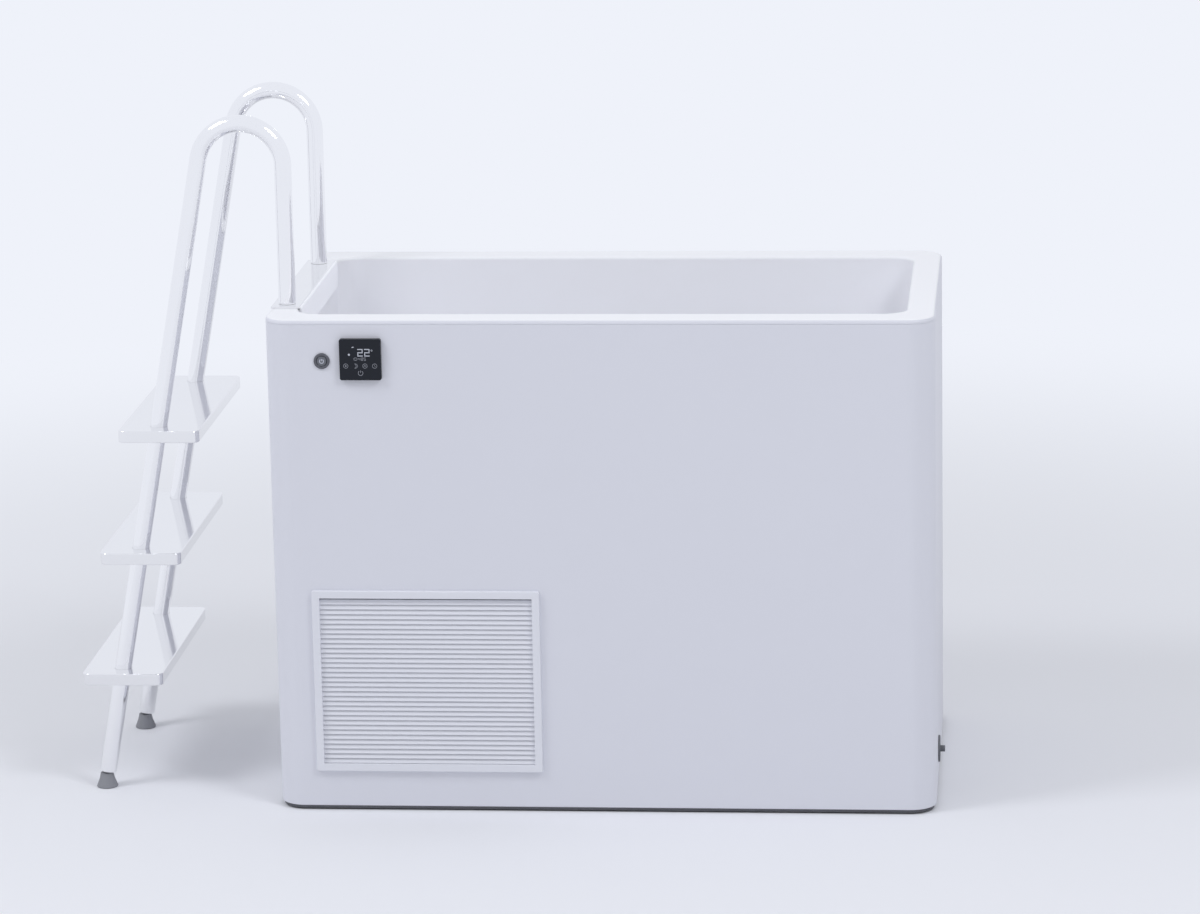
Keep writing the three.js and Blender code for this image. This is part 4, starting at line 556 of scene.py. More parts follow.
@dataclass(frozen=True)
class Finish:
    """A finish: two close colours, a gloss that drifts, and a fine skin or open pores."""

    name: str
    colour: Colour
    second: Colour
    roughness: float
    swing: float = 0.04
    metallic: float = 0.0
    coat: float = 0.0
    coat_roughness: float = 0.08
    skin_scale: float = 700.0
    patch_scale: float = 3.0
    skin_depth: float = 0.00002
    stretch: tuple[float, float, float] = (1.0, 1.0, 1.0)
    pores: float = 0.0
    glow: float = 0.0
    specular: float = 0.5

    def material(self) -> bpy.types.Material:
        """The finish as a material, made on its first use.

        Returns:
            The material.
        """
        known = bpy.data.materials.get(self.name)
        if known is not None:
            return known
        material = bpy.data.materials.new(self.name)
        material.use_nodes = True
        material.diffuse_color = (*self.colour, 1.0)
        wire = Wiring(material.node_tree)
        shade = wire.node(
            "ShaderNodeGroup", node_tree=SurfaceGroups.get("mottle"), Colour=(*self.colour, 1.0),
            Second_Colour=(*self.second, 1.0), Patch_Scale=self.patch_scale,
            Skin_Scale=self.skin_scale, Roughness=self.roughness, Roughness_Swing=self.swing,
            Stretch=self.stretch,
        ).outputs
        colour, height = shade["Colour"], shade["Height"]
        if self.pores > 0:
            group = SurfaceGroups.get("cells")
            cells = wire.node("ShaderNodeGroup", node_tree=group, Scale=self.pores).outputs
            colour = wire.blend(cells["Mask"], colour, (*self.second, 1.0))
            height = cells["Height"]
        bump = wire.node("ShaderNodeBump", Strength=1.0, Distance=self.skin_depth, Height=height)
        shader = wire.fill(
            material.node_tree.nodes["Principled BSDF"], Base_Color=colour,
            Roughness=shade["Roughness"], Normal=bump.outputs["Normal"], Metallic=self.metallic,
            Coat_Weight=self.coat, Coat_Roughness=self.coat_roughness,
            Specular_IOR_Level=self.specular,
        )
        # Glow: the panel's figures are lit; on the button's printed mark the glow is painted light.
        if self.glow > 0:
            wire.fill(shader, Emission_Color=colour, Emission_Strength=self.glow)
        return material


MOULDED = {"skin_scale": 260.0, "skin_depth": 0.000012, "patch_scale": 2.2}
PLATE = {"swing": 0.05, "metallic": 1.0, "skin_scale": 60.0, "skin_depth": 0.000006,
         "patch_scale": 6.0}
# Painted shade: a darker copy of the tub's one white, for the walls and the faces that don't look
# up, where less light falls.
SIDE_COAT_PAINTED_SHADE = Finish("white coat with painted side shade", (0.770, 0.777, 0.835), (0.755, 0.761, 0.820), 0.46,
                  specular=0.3, **MOULDED)
# Painted light: lighter copies of the same white, for the rim's top and, lighter still, the basin's
# inside.
TOP_COAT_PAINTED_LIGHT = Finish("white top coat with painted light", (0.930, 0.933, 0.955), (0.918, 0.921, 0.944), 0.42,
                    **MOULDED)
INSIDE_COAT_PAINTED_LIGHT = Finish("white inside coat with painted light", (0.955, 0.957, 0.990), (0.945, 0.947, 0.982), 0.45,
                     **MOULDED)
GRILLE_WHITE = Finish("white grille plastic", srgb(233, 234, 240), srgb(229, 230, 237), 0.42,
                      skin_scale=900.0)
BASE_GREY = Finish("dark base plastic", srgb(104, 105, 110), srgb(94, 95, 100), 0.7,
                   skin_scale=1200.0, skin_depth=0.00006)
FOOT_RUBBER = Finish("dark grey rubber", srgb(150, 151, 156), srgb(138, 139, 144), 0.85,
                     skin_scale=1500.0, skin_depth=0.00008)
POLISHED = Finish("polished steel tube", (0.93, 0.93, 0.94), (0.91, 0.91, 0.92), 0.07, swing=0.03,
                  metallic=1.0, skin_scale=40.0, skin_depth=0.000004, patch_scale=8.0)
TREAD_STEEL = Finish("polished plate", (0.87, 0.87, 0.88), (0.85, 0.85, 0.86), 0.09, **PLATE)
# Painted light: a paler, rougher copy of the plate's steel for the hook's flange, standing in for
# the bright reflection it catches.
FLANGE_STEEL_PAINTED_LIGHT = Finish("satin plate with painted light", (0.97, 0.97, 0.98), (0.95, 0.95, 0.96), 0.75, **PLATE)
BLACK_GLASS = Finish("black touch glass", srgb(20, 25, 35), srgb(16, 21, 31), 0.16, swing=0.02,
                     specular=0.28, skin_depth=0.000002)
PANEL_BLACK = Finish("black panel housing", srgb(38, 39, 43), srgb(32, 33, 37), 0.5)
RING_STEEL = Finish("dark satin steel", srgb(112, 113, 119), srgb(96, 97, 103), 0.38, metallic=1.0,
                    skin_scale=1800.0, skin_depth=0.00003)
CAP_STEEL = Finish("satin steel cap", srgb(120, 122, 128), srgb(108, 110, 116), 0.42, metallic=1.0,
                   skin_scale=2200.0, skin_depth=0.00003)
# The button's printed mark gets a faint glow, which is painted light; it is no lamp.
MARK_PALE_PAINTED_GLOW = Finish("pale printed mark with painted glow", srgb(200, 203, 213), srgb(192, 195, 206), 0.5, glow=0.1)
DISPLAY_LIT = Finish("lit figures", srgb(188, 191, 200), srgb(180, 183, 193), 0.5, glow=0.12)
DISPLAY_DIM = Finish("dim figures", srgb(138, 140, 148), srgb(128, 130, 138), 0.5, glow=0.1)
DRAIN_GREY = Finish("dark drain plastic", srgb(108, 110, 116), srgb(98, 100, 106), 0.5)
FOAM = Finish("cut foam", srgb(233, 222, 186), srgb(205, 190, 148), 0.95, pores=420.0,
              skin_depth=0.0006)
FLEECE = Finish("filter fleece", srgb(236, 238, 238), srgb(214, 218, 220), 0.95, pores=900.0,
                skin_depth=0.0003)
DUST_MESH = Finish("dust mesh", srgb(172, 174, 182), srgb(138, 140, 148), 0.8, pores=700.0,
                   skin_depth=0.0006)
ZINC = Finish("zinc plated steel", srgb(182, 186, 190), srgb(160, 165, 170), 0.42, metallic=1.0,
              patch_scale=60.0, skin_scale=500.0)
FIN_ALUMINIUM = Finish("fin aluminium", srgb(198, 202, 206), srgb(180, 185, 190), 0.38,
                       metallic=1.0, stretch=(8.0, 1.0, 1.0), patch_scale=20.0)
COPPER = Finish("drawn copper", srgb(190, 116, 76), srgb(150, 84, 54), 0.32, metallic=1.0,
                patch_scale=30.0)
BLACK_PAINT = Finish("black machine paint", srgb(36, 37, 40), srgb(28, 29, 32), 0.46,
                     skin_scale=500.0, skin_depth=0.00008)
MACHINE_PLASTIC = Finish("grey machine plastic", srgb(60, 61, 65), srgb(50, 51, 55), 0.55)
PIPE_PLASTIC = Finish("pale pipe plastic", srgb(218, 220, 225), srgb(206, 209, 215), 0.45)
FILTER_BLUE = Finish("blue filter housing", srgb(78, 118, 148), srgb(66, 104, 134), 0.3, coat=0.3)


@dataclass
class Casing:
    """The outer shell, the stepped basin with its rim, and the base."""

    corner: float = 55 * MM
    shell_wall: float = 6 * MM
    shell_edge: float = 2.5 * MM
    seam_edge: float = 0.25 * MM
    rim_ends: float = 60 * MM
    rim_sides: float = 70 * MM
    rim_edge: float = 7 * MM
    basin_wall: float = 6 * MM
    basin_corner: float = 50 * MM
    floor_round: float = 40 * MM
    blend_rounds: int = 4
    seat_height: float = 520 * MM
    seat_length: float = 560 * MM
    seat_edge: float = 22 * MM
    well_floor: float = 120 * MM
    fitting_hole: float = 19.3 * MM
    drain_hole: float = 14.7 * MM
    lip_step: float = 0.05 * MM
    # Faces outside the mouth that look up less steeply than this get the painted side shade.
    skirt_turn: float = 0.8
    base_wall: float = 3 * MM

    def __post_init__(self) -> None:
        """Takes the outer sizes from the frame."""
        self.low, self.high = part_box("outer_shell")
        self.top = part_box("basin")[1].z
        self.rim_under = self.high.z + FIT
        self.lip_reach = 2 * self.rim_edge
        self.plan = Plan(self.low.x, self.high.x, self.low.y, self.high.y, self.corner)
        self.hollow = Plan(self.low.x + self.rim_ends, self.high.x - self.rim_ends,
                           self.low.y + self.rim_sides, self.high.y - self.rim_sides,
                           self.basin_corner)

    def build(self, openings: Sequence[Mesh]) -> None:
        """Builds the casing.

        Args:
            openings: what is cut out of the outer shell's walls.
        """
        self.build_shell(openings)
        self.build_basin()
        self.build_base()

    def build_shell(self, openings: Sequence[Mesh]) -> None:
        """Builds four walls in one piece, with softened edges.

        Args:
            openings: what is cut out of them.
        """
        outer = [*lower_round(self.low.z, self.shell_edge),
                 *upper_round(self.high.z, self.seam_edge)]
        inner = [(self.shell_wall, self.high.z), (self.shell_wall, self.low.z)]
        walls = worked(sleeve(self.plan, outer + inner), Cut.CARVE, openings)
        # The walls take the darker copy of the white, as painted shade.
        fitted("shell_skin", walls, SIDE_COAT_PAINTED_SHADE, "tub", ["outer_shell"])

    def side_line(self, wall: float, top: float) -> list[tuple[Level, Level, float]]:
        """The stepped line of the hollow, seen from the front.

        It runs from the top left down, over the seat's edge and round to the top right.

        Args:
            wall: thickness that is added all round.
            top: the height that the line ends at.

        Returns:
            For each point its (x, z), the way into the hollow there, and the radius that the side
            walls meet it with.
        """
        x0, x1 = self.hollow.x0 - wall, self.hollow.x1 + wall
        riser = self.hollow.x0 + self.seat_length - wall
        seat, floor = self.seat_height - wall, self.well_floor - wall
        r, corner = self.floor_round + wall, self.basin_corner + wall
        roll = self.seat_edge - wall
        blend_z = self.seat_height + self.blend_rounds * self.floor_round
        line: list[tuple[Level, Level, float]] = [((x0, z), (1, 0), corner) for z in (top, blend_z)]

        def bend(centre: Level, radius: float, start: int, turn: int) -> None:
            """Adds a quarter bend to the line.

            Args:
                centre: the (x, z) of its middle.
                radius: its radius.
                start: the angle that it starts at, in degrees.
                turn: +1 where it bends round a floor, -1 where it bends over the seat's edge.
            """
            for step in range(ROUND_STEPS + 1):
                angle = math.radians(start + turn * 90 * step / ROUND_STEPS)
                out = (math.cos(angle), math.sin(angle))
                line.append(((centre[0] + radius * out[0], centre[1] + radius * out[1]),
                             (-turn * out[0], -turn * out[1]), r))

        bend((x0 + r, seat + r), r, 180, 1)
        bend((riser - roll, seat - roll), roll, 90, -1)
        bend((riser + r, floor + r), r, 180, 1)
        bend((x1 - r, floor + r), r, 270, 1)
        line += [((x1, z), (-1, 0), corner) for z in (blend_z, top)]
        return line

    def hollow_body(self, wall: float, top: float) -> Mesh:
        """The basin's stepped hollow, or its outside where a wall is added.

        Args:
            wall: thickness that is added all round.
            top: the height that it ends at.

        Returns:
            The closed mesh.
        """
        line = self.side_line(wall, top)
        middle = (self.hollow.y0 + self.hollow.y1) / 2
        half = (self.hollow.y1 - self.hollow.y0) / 2 + wall
        angles = [QUARTER_TURN * step / CORNER_STEPS for step in range(CORNER_STEPS + 1)]
        rows = []
        for side, turns in ((-1, angles), (1, angles[::-1])):
            for a in turns:
                row = []
                for (x, z), (nx, nz), r in line:
                    inset = r * (1 - math.sin(a))
                    y = middle + side * (half - r * (1 - math.cos(a)))
                    row.append(Vector((x + inset * nx, y, z + inset * nz)))
                rows.append(row)
        return skin(rows, closed=False)

    def fitting_holes(self) -> list[Mesh]:
        """The basin's holes for the two water fittings and the drain, as cutters.

        Returns:
            The cutters.
        """
        riser = self.hollow.x0 + self.seat_length
        reach = 2 * self.basin_wall
        holes = []
        for node, axis, r in (("suction_fitting", Axis.X, self.fitting_hole),
                              ("return_jet", Axis.X, self.fitting_hole),
                              ("floor_drain", Axis.Z, self.drain_hole)):
            low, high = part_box(node)
            centre = (low + high) / 2
            if axis is Axis.X:
                centre.x = riser
            else:
                centre.z = self.well_floor
            holes.append(rod(axis, centre, r, -reach, reach))
        return holes

    def build_basin(self) -> None:
        """Builds the rim and the stepped basin in one moulding."""
        rim = soft_block(self.plan, [*lower_round(self.rim_under, self.seam_edge),
                                     *upper_round(self.top, self.rim_edge)])
        outside = self.hollow_body(self.basin_wall, (self.rim_under + self.top) / 2)
        inside = self.hollow_body(0, self.top + self.rim_edge)
        lip = soft_block(self.hollow.grown(-self.lip_step),
                         [(0, self.top - self.lip_reach), *upper_flare(self.top, self.rim_edge),
                          (-self.rim_edge, self.top + self.rim_edge)])
        moulding = worked(worked(rim, Cut.JOIN, [outside]), Cut.CARVE,
                          [inside, lip, *self.fitting_holes()])
        # The moulding's top keeps the lighter copy of the white, as painted light.
        basin = fitted("basin_moulding", moulding, TOP_COAT_PAINTED_LIGHT, "tub", ["basin"])
        self.coat_basin(basin.data)

    def coat_basin(self, data: bpy.types.Mesh) -> None:
        """Paints shade and light into the moulding's white: a darker copy on the outer band as
        painted shade, a lighter copy inside as painted light.

        Args:
            data: the moulding's mesh.
        """
        # Slot 1 takes the painted side shade, slot 2 the painted light inside; the top keeps slot
        # 0, the lighter copy.
        for finish in (SIDE_COAT_PAINTED_SHADE, INSIDE_COAT_PAINTED_LIGHT):
            data.materials.append(finish.material())
        mouth = self.hollow.grown(self.lip_reach)
        for face in data.polygons:
            x, y, z = face.center
            inside = mouth.x0 < x < mouth.x1 and mouth.y0 < y < mouth.y1
            if inside and z < self.top - self.lip_reach:
                face.material_index = 2
            elif not inside and face.normal.z < self.skirt_turn:
                face.material_index = 1

    def build_base(self) -> None:
        """Builds the base's strip under the shell, with its lip inside."""
        low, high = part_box("base_tray")
        setback = low.x - self.low.x
        plan = Plan(low.x, high.x, low.y, high.y, self.corner - setback)
        inset = self.shell_wall + FIT - setback
        wall = inset + self.base_wall
        strip_top = self.low.z - FIT
        section = [(0, low.z), (0, strip_top), (inset, strip_top), (inset, high.z), (wall, high.z),
                   (wall, low.z)]
        fitted("base_strip", sleeve(plan, section), BASE_GREY, "tub", ["base_tray"])


@dataclass
class LouvrePanel:
    """A louvre panel: a frame with a skirt through the wall, and sloping slats."""

    node: str
    body: str
    piece: str
    outwards: int
    border: float = 16 * MM
    proud: float = 9 * MM
    edge: float = 1.8 * MM
    inner_edge: float = 0.8 * MM
    corner: float = 4.5 * MM
    skirt_wall: float = 5 * MM
    skirt_depth: float = 22 * MM
    pitch: float = 10.4 * MM
    slat_thick: float = 1.8 * MM
    slat_depth: float = 11 * MM
    slat_recess: float = 5 * MM
    slat_tuck: float = 1 * MM
    slat_tilt: float = math.radians(65)
    foot_gap: float = 0.3 * MM
    nose_steps: int = 5

    def __post_init__(self) -> None:
        """Takes the panel's place from the frame."""
        self.low, self.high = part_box(self.node)
        front = self.low.y if self.outwards < 0 else self.high.y
        self.wall = front - self.outwards * self.proud
        self.plan = Plan(self.low.x, self.high.x, self.low.z, self.high.z, self.corner)

    def opening(self) -> Mesh:
        """The hole that the skirt goes through.

        Returns:
            The cutter.
        """
        inset = self.border - self.skirt_wall - FIT
        reach = self.skirt_depth
        return slab((self.low.x + inset, self.wall - reach, self.low.z + inset),
                    (self.high.x - inset, self.wall + reach, self.high.z - inset))

    def build(self) -> None:
        """Builds the frame and its slats as one piece."""
        ring = stood_up(self.frame_ring(), self.wall, self.outwards)
        fitted(self.piece, merged([ring, *self.slats()]), GRILLE_WHITE, self.body,
               [self.node])

    def frame_ring(self) -> Mesh:
        """The frame and its skirt, drawn flat.

        Returns:
            The closed mesh.
        """
        inner, r = self.border, self.inner_edge
        nose = quarter(lambda a: (inner - r + r * math.sin(a), self.proud - r + r * math.cos(a)))
        skirt = inner - self.skirt_wall
        section = [(0.0, FIT), *upper_round(self.proud, self.edge), *nose,
                   (inner, -self.skirt_depth), (skirt, -self.skirt_depth), (skirt, FIT)]
        return sleeve(self.plan, section)

    def slats(self) -> list[Mesh]:
        """The slats, each a thin blade with round edges, its outer edge down.

        Returns:
            One closed mesh for each slat.
        """
        low, high = self.low.z + self.border, self.high.z - self.border
        count = math.floor((high - low) / self.pitch)
        cos, sin = math.cos(self.slat_tilt), math.sin(self.slat_tilt)
        reach = self.slat_depth / 2 * cos + self.slat_thick / 2 * sin
        middle = self.wall + self.outwards * (self.proud - self.slat_recess - reach)
        start = self.low.x + self.border - self.slat_tuck
        end = self.high.x - self.border + self.slat_tuck
        made = []
        for i in range(count):
            z = low + self.foot_gap + (i + 0.5) * self.pitch
            section = [(middle + a, z + b) for a, b in self.blade()]
            made.append(swept(section, Axis.X, start, end))
        return made

    def blade(self) -> list[Level]:
        """A slat's section about its middle.

        Returns:
            Its (depth, height) points.
        """
        half = self.slat_depth / 2 - self.slat_thick / 2
        r = self.slat_thick / 2
        cos, sin = math.cos(self.slat_tilt), math.sin(self.slat_tilt)
        points = []
        for side, turn in ((1, -QUARTER_TURN), (-1, QUARTER_TURN)):
            for step in range(self.nose_steps + 1):
                angle = turn + step / self.nose_steps * math.pi
                along = side * half + r * math.cos(angle)
                across = r * math.sin(angle)
                points.append((self.outwards * (along * cos + across * sin),
                               across * cos - along * sin))
        return points


class Figures:
    """Thin raised marks on a face that looks to the front, in millimetres about its middle."""

    THICK = 0.06 * MM
    ARC_STEPS = 32
    DOT_STEPS = 20
    BAR_GAP = 0.12
    POWER_ARC = (125.0, 415.0)
    POWER_BAR = (0.15, 1.15)
    BARS = {"0": "abcdef", "1": "bc", "2": "abged", "4": "fgbc", "5": "afgcd", "8": "abcdefg"}

    def __init__(self, centre: Vector) -> None:
        """Keeps the middle of the face that the marks go on."""
        self.centre = centre
        self.meshes: list[Mesh] = []

    def spot(self, x: float, z: float, depth: float) -> Vector:
        """A point of the face, at a depth in front of it."""
        return self.centre + Vector((x * MM, -depth, z * MM))

    def band(self, left: Sequence[Level], right: Sequence[Level]) -> None:
        """Adds a band.

        Args:
            left: the line along its one side.
            right: the line along its other side, of as many points.
        """
        rows = []
        for a, b in zip(left, right):
            rows.append([self.spot(*a, 0), self.spot(*b, 0), self.spot(*b, self.THICK),
                         self.spot(*a, self.THICK)])
        self.meshes.append(skin(rows, closed=False))

    def bar(self, start: Level, end: Level, width: float) -> None:
        """Adds a straight bar.

        Args:
            start: the middle of its one end.
            end: the middle of its other end.
            width: its width.
        """
        dx, dz = end[0] - start[0], end[1] - start[1]
        length = math.hypot(dx, dz)
        nx, nz = -dz / length * width / 2, dx / length * width / 2
        self.band([(start[0] + nx, start[1] + nz), (end[0] + nx, end[1] + nz)],
                  [(start[0] - nx, start[1] - nz), (end[0] - nx, end[1] - nz)])

    def arc(self, centre: Level, r: float, width: float, start: float = 0.0,
            end: float = 360.0) -> None:
        """Adds a round band.

        Args:
            centre: its middle.
            r: the radius of its middle line.
            width: its width.
            start: where it starts, in degrees from the right, counter-clockwise.
            end: where it ends.
        """
        lines: list[list[Level]] = [[], []]
        for step in range(self.ARC_STEPS + 1):
            angle = math.radians(start + (end - start) * step / self.ARC_STEPS)
            for line, radius in zip(lines, (r + width / 2, r - width / 2)):
                line.append((centre[0] + radius * math.cos(angle),
                             centre[1] + radius * math.sin(angle)))
        if end - start < 360:
            self.band(*lines)
            return
        outer, inner = (line[:-1] for line in lines)
        levels = ((outer, 0), (inner, 0), (inner, self.THICK), (outer, self.THICK))
        rows = [[self.spot(*p, depth) for p in line] for line, depth in levels]
        self.meshes.append(skin(rows, closed=True))

    def dot(self, centre: Level, r: float) -> None:
        """Adds a filled round.

        Args:
            centre: its middle.
            r: its radius.
        """
        angles = [FULL_TURN * i / self.DOT_STEPS for i in range(self.DOT_STEPS)]
        points = [(centre[0] + r * math.cos(a), centre[1] + r * math.sin(a)) for a in angles]
        rows = [[self.spot(*p, depth) for p in points] for depth in (0, self.THICK)]
        self.meshes.append(skin(rows, closed=False))

    def digit(self, figure: str, left: float, bottom: float, width: float, height: float,
              stroke: float) -> None:
        """Adds one figure of seven bars.

        Args:
            figure: the figure.
            left: its left side.
            bottom: its lower side.
            width: its width.
            height: its height.
            stroke: the bars' width.
        """
        x0, x1 = left + stroke / 2, left + width - stroke / 2
        z0, z1 = bottom + stroke / 2, bottom + height - stroke / 2
        zm = bottom + height / 2
        h = stroke / 2
        rest = h + stroke * self.BAR_GAP
        bars = {
            "a": ((x0 - h, z1), (x1 + h, z1)),
            "g": ((x0 - h, zm), (x1 + h, zm)),
            "d": ((x0 - h, z0), (x1 + h, z0)),
            "f": ((x0, zm + rest), (x0, z1 - rest)),
            "b": ((x1, zm + rest), (x1, z1 - rest)),
            "e": ((x0, z0 + rest), (x0, zm - rest)),
            "c": ((x1, z0 + rest), (x1, zm - rest)),
        }
        for name in self.BARS[figure]:
            self.bar(*bars[name], stroke)

    def power_mark(self, centre: Level, r: float, width: float) -> None:
        """Adds an open ring with an upright bar in its gap.

        Args:
            centre: the ring's middle.
            r: the radius of its middle line.
            width: the width of its stroke.
        """
        self.arc(centre, r, width, *self.POWER_ARC)
        foot, head = ((centre[0], centre[1] + r * share) for share in self.POWER_BAR)
        self.bar(foot, head, width)

    def build(self, name: str, finish: Finish, body: str, slot: str) -> None:
        """Makes the marks one piece."""
        fitted(name, merged(self.meshes), finish, body)
        self.meshes = []


@dataclass
class TouchPanel:
    """The square touch panel: its housing, its glass and its figures, which are in millimetres."""

    corner: float = 4 * MM
    glass_edge: float = 0.9 * MM
    housing_edge: float = 0.6 * MM
    back_box: float = 58 * MM
    digit_size: tuple[float, float, float] = (11.0, 15.6, 1.9)
    digit_lefts: tuple[float, ...] = (-5.0, 9.2)
    digit_foot: float = 7.2
    degree_place: Level = (24.4, 19.6)
    degree_ring: Level = (1.5, 0.7)
    dash_ends: tuple[Level, Level] = ((-16.4, 26.4), (-12.4, 26.4))
    dash_width: float = 1.8
    lamp_place: Level = (-22.6, 10.8)
    lamp_r: float = 2.2
    small_size: tuple[float, float, float] = (4.2, 6.4, 0.9)
    small_left: float = -17.0
    small_foot: float = -1.6
    small_gap: float = 1.5
    colon_heights: Level = (0.4, 3.0)
    colon_r: float = 0.6
    colon_shift: float = 0.3
    colon_step: float = 2.0
    icon_r: float = 4.6
    icon_stroke: float = 0.9
    icon_row: float = -12.9
    icon_places: tuple[float, ...] = (-29.8, -10.1, 9.8, 29.9)
    hub_r: float = 1.6
    moon_turns: Level = (110.0, 68.0)
    moon_bite: float = 2.6
    moon_share: float = 0.95
    roof_half: float = 2.2
    roof_heights: Level = (-1.6, 2.0)
    long_hand: Level = (0.0, 3.0)
    short_hand: Level = (2.2, -1.2)
    power_place: Level = (0.4, -27.9)
    power_ring: Level = (4.9, 1.1)

    def __post_init__(self) -> None:
        """Takes the panel's place from the frame."""
        self.low, self.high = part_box("controller_housing")
        self.glass_low, self.glass_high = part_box("controller_glass")
        self.shell_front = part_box("outer_shell")[0].y
        self.plan = Plan(self.low.x, self.high.x, self.low.z, self.high.z, self.corner)
        self.centre = (self.low + self.high) / 2
        self.centre.y = self.glass_low.y

    def box_block(self, half: float, front: float, back: float) -> Mesh:
        """A square block behind the panel.

        Args:
            half: half its side.
            front: where it starts on Y.
            back: where it ends.

        Returns:
            The closed mesh.
        """
        x, z = self.centre.x, self.centre.z
        return slab((x - half, front, z - half), (x + half, back, z + half))

    def opening(self) -> Mesh:
        """The wall's hole for the back box, as a cutter."""
        half = self.back_box / 2 + FIT
        return self.box_block(half, self.shell_front - half, self.shell_front + half)

    def build(self) -> None:
        """Builds the housing, the glass and the figures."""
        wall = self.shell_front
        face = soft_block(self.plan, [(0, FIT), *upper_round(wall - self.low.y, self.housing_edge)])
        back = self.box_block(self.back_box / 2, wall - 2 * FIT, self.high.y)
        housing = worked(stood_up(face, wall, -1), Cut.JOIN, [back])
        fitted("panel_housing", housing, PANEL_BLACK, "tub", ["controller_housing"])
        glass = soft_block(self.plan, [(0, wall - self.glass_high.y),
                                       *upper_round(wall - self.glass_low.y, self.glass_edge)])
        fitted("panel_glass", stood_up(glass, wall, -1), BLACK_GLASS, "tub",
               ["controller_glass"])
        self.build_lit()
        self.build_dim()

    def build_lit(self) -> None:
        """Builds the temperature, its degree ring and two small signs."""
        marks = Figures(self.centre)
        for left in self.digit_lefts:
            marks.digit("2", left, self.digit_foot, *self.digit_size)
        marks.arc(self.degree_place, *self.degree_ring)
        marks.bar(*self.dash_ends, self.dash_width)
        marks.dot(self.lamp_place, self.lamp_r)
        marks.build("panel_temperature", DISPLAY_LIT, "tub", "black_glass")

    def build_dim(self) -> None:
        """Builds a row of small figures, the row of key signs and the power sign."""
        marks = Figures(self.centre)
        left = self.small_left
        for sign in "10:485":
            if sign == ":":
                for height in self.colon_heights:
                    marks.dot((left + self.colon_shift, height), self.colon_r)
                left += self.colon_step
                continue
            marks.digit(sign, left, self.small_foot, *self.small_size)
            left += self.small_size[0] + self.small_gap
        self.add_icons(marks)
        marks.power_mark(self.power_place, *self.power_ring)
        marks.build("panel_signs", DISPLAY_DIM, "tub", "black_glass")

    def add_icons(self, marks: Figures) -> None:
        """Adds the row of key signs: a hub, a moon, a roof and a clock.

        Args:
            marks: the marks that they are added to.
        """
        row, r, stroke = self.icon_row, self.icon_r, self.icon_stroke
        hub, moon, roof, clock = self.icon_places
        for x in (hub, roof, clock):
            marks.arc((x, row), r, stroke)
        marks.dot((hub, row), self.hub_r)
        outer, inner = self.moon_turns
        marks.arc((moon, row), r, stroke, -outer, outer)
        marks.arc((moon - self.moon_bite, row), r * self.moon_share, stroke, -inner, inner)
        eaves, ridge = (row + height for height in self.roof_heights)
        for side in (-1, 1):
            marks.bar((roof + side * self.roof_half, eaves), (roof, ridge), stroke)
        for dx, dz in (self.long_hand, self.short_hand):
            marks.bar((clock, row), (clock + dx, row + dz), stroke)


@dataclass
class PowerButton:
    """The push button: its ring, its cap and the mark on the cap, which is in millimetres."""

    ring_r: float = 16.5 * MM
    flange: float = 3 * MM
    ring_edge: float = 1.2 * MM
    barrel_r: float = 12.5 * MM
    bore_r: float = 10.6 * MM
    bore_edge: float = 1.0 * MM
    cap_r: float = 10.2 * MM
    cap_edge: float = 0.8 * MM
    mark_r: float = 4.2
    mark_width: float = 1.5

    def __post_init__(self) -> None:
        """Takes the button's place from the frame."""
        low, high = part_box("button_bezel")
        self.back = high.y
        self.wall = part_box("outer_shell")[0].y
        self.cap_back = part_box("button_cap")[1].y
        self.centre = (low + high) / 2
        self.centre.y = 0

    def opening(self) -> Mesh:
        """The wall's hole for the barrel, as a cutter."""
        return rod(Axis.Y, self.centre, self.barrel_r + FIT, self.wall - self.ring_r,
                   self.wall + self.ring_r)

    def build(self) -> None:
        """Builds the ring, the cap and its mark."""
        seat = self.wall - FIT
        face = seat - self.flange
        ring = [(self.bore_r, self.back), (self.barrel_r, self.back), (self.barrel_r, seat),
                (self.ring_r, seat), *turned_edge(self.ring_r, face, self.ring_edge, -1),
                (self.bore_r + self.bore_edge, face), (self.bore_r, face + self.bore_edge)]
        fitted("button_ring", turned(ring, Axis.Y, self.centre), RING_STEEL, "tub",
               ["button_bezel"])
        cap = [(0, self.cap_back), (self.cap_r, self.cap_back),
               *turned_edge(self.cap_r, face, self.cap_edge, -1), (0, face)]
        fitted("button_push_cap", turned(cap, Axis.Y, self.centre), CAP_STEEL, "button",
               ["button_cap"])
        marks = Figures(Vector((self.centre.x, face, self.centre.z)))
        marks.power_mark((0, 0), self.mark_r, self.mark_width)
        # The printed mark carries a faint painted glow.
        marks.build("button_mark", MARK_PALE_PAINTED_GLOW, "button", "zinc")


